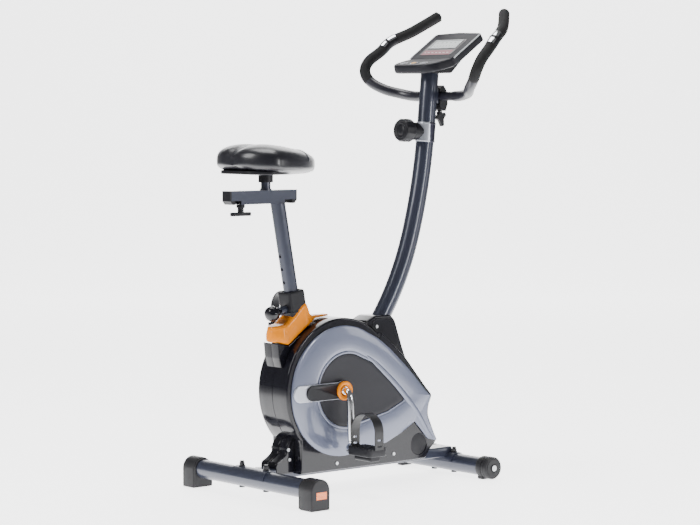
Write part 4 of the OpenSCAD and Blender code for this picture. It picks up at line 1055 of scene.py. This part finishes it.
# %% Display and print
def up_the_slope(finish):
    """How far up the display's slope a point is from the hinge, and how far to the left, in metres."""
    x, y, z = finish.place()
    return (x - (hinge[0] - MID_X) * MM) * math.cos(slope) + (z - hinge[2] * MM) * math.sin(slope), y


print_red = Finish("console_print", (0.030, 0.022, 0.024), 0.34, coat=0.4)
along_slope, py = up_the_slope(print_red)
red_band = along_slope.inside(0.0195, 0.0420, 0.0004) * py.inside(-0.056, 0.056, 0.0005)
print_red.paint((0.24, 0.018, 0.040), red_band)
stripe_height = along_slope.inside(0.0295, 0.0315, 0.0003)
stripe = stripe_height * py.inside(-0.050, 0.050, 0.0005) * (py * 420.0).wave().step(-0.35, -0.15)
print_red.paint((0.62, 0.60, 0.58), stripe)
print_red.uneven(0.30, 0.10, 80.0)
pale = Finish("display_frame", (0.62, 0.64, 0.66), 0.35)
pale.uneven(0.32, 0.08, 90.0)
glass = Finish("lcd_glass", (0.36, 0.41, 0.40), 0.20, coat=0.8)
glass_slope, gy = up_the_slope(glass)
small_row = glass_slope.inside(0.060, 0.0655, 0.0002) * (gy * 520.0).wave().step(0.15, 0.4)
marks = small_row * gy.inside(-0.044, 0.044, 0.0003)
large_row = glass_slope.inside(0.0765, 0.0825, 0.0002) * (gy * 360.0).wave().step(0.0, 0.2)
marks_low = large_row * gy.inside(-0.044, 0.044, 0.0003)
glass.paint((0.13, 0.16, 0.16), (marks + marks_low) * 0.8)
glass.uneven(0.14, 0.06, 60.0)
piece("console_plate", slab(round_outline(76, 128, 5) + [57, 0], -1.0, 0.5, 0.4, face_place), print_red, "frame",
    ["console_face"])
piece("display_glass", slab(round_outline(36, 105, 2) + [71, 0], 0.2, 0.9, 0.2, face_place), glass, "frame",
    ["lcd_screen"])
piece("display_rim", hoop(round_outline(42, 111, 4) + [71, 0], round_outline(35, 104, 2) + [71, 0], 0.2, 1.9, 0.5,
    face_place), pale, "frame", slot="satin_silver")
trim = tube([face_place(np.array([x, -88.0, -2.2])) for x in np.linspace(6, 122, 24)], 1.9, 14, edge=0.8)
piece("console_trim", trim + mirrored(trim), pale, "frame", slot="satin_silver")
button_rims = []
for place in button_at:
    button_rims += turned([(8.9, 0.3), (11.2, 0.3), (11.2, 0.9), (10.6, 1.3), (9.2, 1.3), (8.9, 1.0)], place, 48,
        loop=True)
piece("button_rims", button_rims, pale, "frame", slot="satin_silver")
print("console made")

# %% [markdown]
# ## Saddle
#
# The cushion is foam under a stretched vinyl skin, so it has no flat anywhere. It is drawn in slices across
# the bike: the half width swells to two lobes at the back and narrows to the nose, the top dips in the
# middle of the back to make a groove, and every slice is a soft oval that is flatter below than above. The
# back edge is pulled forward near the middle, which parts the lobes.

# %% Cushion
length = np.linspace(0, 1, 110)
station = -75.5 + (203.5 + 75.5) * (0.5 - 0.5 * np.cos(math.pi * length))
station[0], station[-1] = -75.4, 203.4


def half_width_at(x):
    """Half the width: a quarter ellipse at the back and a long soft taper to the nose."""
    back = 117.0 * np.sqrt(np.clip(1 - ((-2 - x) / 73.6) ** 2, 0, 1))
    t = np.clip((x + 2) / 205.6, 0, 1)
    front = 117.0 * (1 - t ** 1.55) ** 0.8
    return np.where(x < -2, back, front)


def top_at(x):
    """Height of the top at the middle: highest at the back, then a long slope down to the nose."""
    return np.interp(x, [-76, -60, -40, -15, 10, 50, 90, 130, 160, 185, 198, 204], [893, 905, 913, 917.5, 918, 914,
        907, 900, 893, 884, 876, 867])


half = np.maximum(half_width_at(station), 0.8)
crest = np.convolve(np.pad(top_at(station), 4, mode="edge"), np.ones(9) / 9, mode="valid")
seam = np.interp(station, [-76, 0, 120, 204], [873, 866, 863, 860])
under = np.interp(station, [-76, -50, 10, 90, 150, 190, 204], [862, 846, 834.6, 834.6, 836, 841, 852])
phi = np.linspace(0, 2 * math.pi, 128, endpoint=False)
cushion = []
for x, w, t, m, b in zip(station, half, crest, seam, under):
    c, s = np.cos(phi), np.sin(phi)
    y = w * np.sign(c) * np.abs(c) ** 0.82
    back = 1 / (1 + math.exp((x - 62) / 22.0))
    groove = 5.0 * back * np.exp(-((y / 17.0) ** 2))
    lobes = 3.0 * back * np.exp(-((y / 46.0) ** 2))
    z = np.where(s >= 0, m + (t - m) * np.abs(s) ** 0.72 - (groove + lobes) * np.clip(s, 0, 1) ** 0.5,
        m - (m - b) * np.abs(s) ** 0.62)
    forward = 7.0 * np.exp(-((y / 24.0) ** 2)) * np.clip((-30 - x) / 46.0, 0, 1) ** 0.8
    cushion.append(np.column_stack([x + forward, y, z]))
cushion = np.array(cushion)
seat = piece("cushion", [skin(cushion)], saddle_vinyl, "saddle", ["saddle_cushion"], sharp=70)


def over(x, low, high, lift, steps=60):
    """A line over the cushion at one slice, lifted a little off it."""
    row = cushion[int(np.argmin(np.abs(station - x)))]
    turn_to = np.radians(np.linspace(low, high, steps))
    line = np.column_stack([np.interp(turn_to, phi, row[:, k]) for k in range(3)])
    return line + unit(line - row.mean(0)) * lift


nose_seam = tube(over(132, 6, 174, 0.2), 1.5, 12, edge=0.8, reference=(1, 0, 0))
centre_seam = np.array([[row[32, 0], row[32, 1], row[32, 2] + 0.15] for row in cushion[10:78]])
edge_seam = np.vstack([cushion[3:-2, 0], cushion[3:-2, 64][::-1]])
edge_seam = edge_seam + unit(np.column_stack([0 * edge_seam[:, 0], edge_seam[:, 1], 0 * edge_seam[:, 0]])) * 0.3
piece("seams", nose_seam + tube(centre_seam, 0.8, 10, edge=0.4, reference=(0, 1, 0)), piping, "saddle",
    slot="saddle_vinyl")
base = soften([[-64, -56], [-18, -104], [30, -94], [120, -34], [168, -22], [184, 0], [168, 22], [120, 34], [30, 94],
    [-18, 104], [-64, 56], [-58, 0]], 24)
piece("pan", slab(base, 838.4, 847.5, 2.5, upright) + turned([(12.6, 816), (18.2, 816), (19, 817), (19, 839),
    (12.6, 839)], lambda p: p + [41, 0, 0], loop=True), satin_black, "saddle", ["saddle_pan"])
finish_node(["rail_end_plugs"], satin_black, bevel=1.0)

handle = np.vstack([arc((24, 0), 8, -128, 128, 18), arc((-24, 0), 8, 52, 308, 18)])
grip_place = lambda local: np.asarray(local, float) + [-41, 0, -4]
clamp_screw = slab(handle, 735.2, 745, 2.2, grip_place)
clamp_screw += turned([(0.05, 742), (8, 742), (8, 755.5), (11, 757.6), (11, 763.6), (10, 764.6), (4, 764.6),
    (4, 784.5), (0.05, 785)], grip_place)
piece("slide_handle", clamp_screw, satin_black, "slide_knob", ["slide_knob"])
print("saddle made")

# %% [markdown]
# ## Floor and light
#
# A white sweep and soft boxes: a big one high on the left for the shape of the tubes, a weak one low on the
# right, a strip beside the ring, and one overhead. The floor glows a little where the camera looks, which
# keeps the background white, and fades out to the sides so that the polished casing does not mirror it.

# %% Floor and light
def soft_box(name, spot, target, size, power):
    """A rectangular light that stands at spot and looks at target."""
    data = bpy.data.lights.new(name, "AREA")
    data.shape, data.size, data.size_y, data.energy = "RECTANGLE", size[0], size[1], power
    lamp = bpy.data.objects.new(name, data)
    lamp.location = spot
    lamp.rotation_euler = (Vector(target) - Vector(spot)).to_track_quat("-Z", "Y").to_euler()
    bpy.context.scene.collection.objects.link(lamp)


bend = np.linspace(0, math.pi / 2, 14)
sweep = [(-9.0, 0.0)] + [(6.0 + 2.5 * math.sin(a), 2.5 - 2.5 * math.cos(a)) for a in bend] + [(8.5, 9.0)]
rows = [[(*(TOWARD * d + ASIDE * w), h) for w in (-12.0, 12.0)] for d, h in sweep]
mesh = bpy.data.meshes.new("floor")
strips = [[2 * i, 2 * i + 1, 2 * i + 3, 2 * i + 2] for i in range(len(rows) - 1)]
mesh.from_pydata([p for row in rows for p in row], [], strips)
mesh.polygons.foreach_set("use_smooth", [True] * len(mesh.polygons))
floor = bpy.data.objects.new("floor", mesh)
bpy.context.scene.collection.objects.link(floor)
paper = Finish("floor_paper", (0.93, 0.93, 0.94), 0.8, specular=0.2)
paper.uneven(0.76, 0.08, 3.0)
paper.shader.inputs["Emission Color"].default_value = (1.0, 1.0, 1.0, 1.0)
paper.shader.inputs["Emission Strength"].default_value = 3.2
fx, fy, _ = paper.place()
ahead = fx * TOWARD[0] + fy * TOWARD[1]
beside = (fx * ASIDE[0] + fy * ASIDE[1]).size()
glow = (1.0 - (beside - ahead * 0.17).step(1.0, 2.4)) * ahead.step(-2.0, -0.7)
tint = paper.tree.nodes.new("ShaderNodeCombineColor")
for channel in tint.inputs[:3]:
    paper.tree.links.new(glow.socket, channel)
paper.tree.links.new(tint.outputs[0], paper.shader.inputs["Emission Color"])
floor.data.materials.append(paper.material)

world = bpy.data.worlds.new("studio")
bpy.context.scene.world = world
world.use_nodes = True
background = world.node_tree.nodes["Background"]
background.inputs["Color"].default_value = (1.0, 1.0, 1.0, 1.0)
background.inputs["Strength"].default_value = 0.16

soft_box("high_left", (-3.4, 0.6, 2.6), (0, 0, 0.5), (1.2, 2.2), 90)
soft_box("low_right", (2.6, -2.6, 0.9), (0.1, 0, 0.35), (0.7, 1.2), 11)
soft_box("strip", (0.55, -2.2, 0.95), (-0.12, 0, 0.35), (0.16, 0.8), 16)
soft_box("overhead", (0.2, 0.4, 4.0), (0, 0, 0.5), (2.2, 2.2), 110)
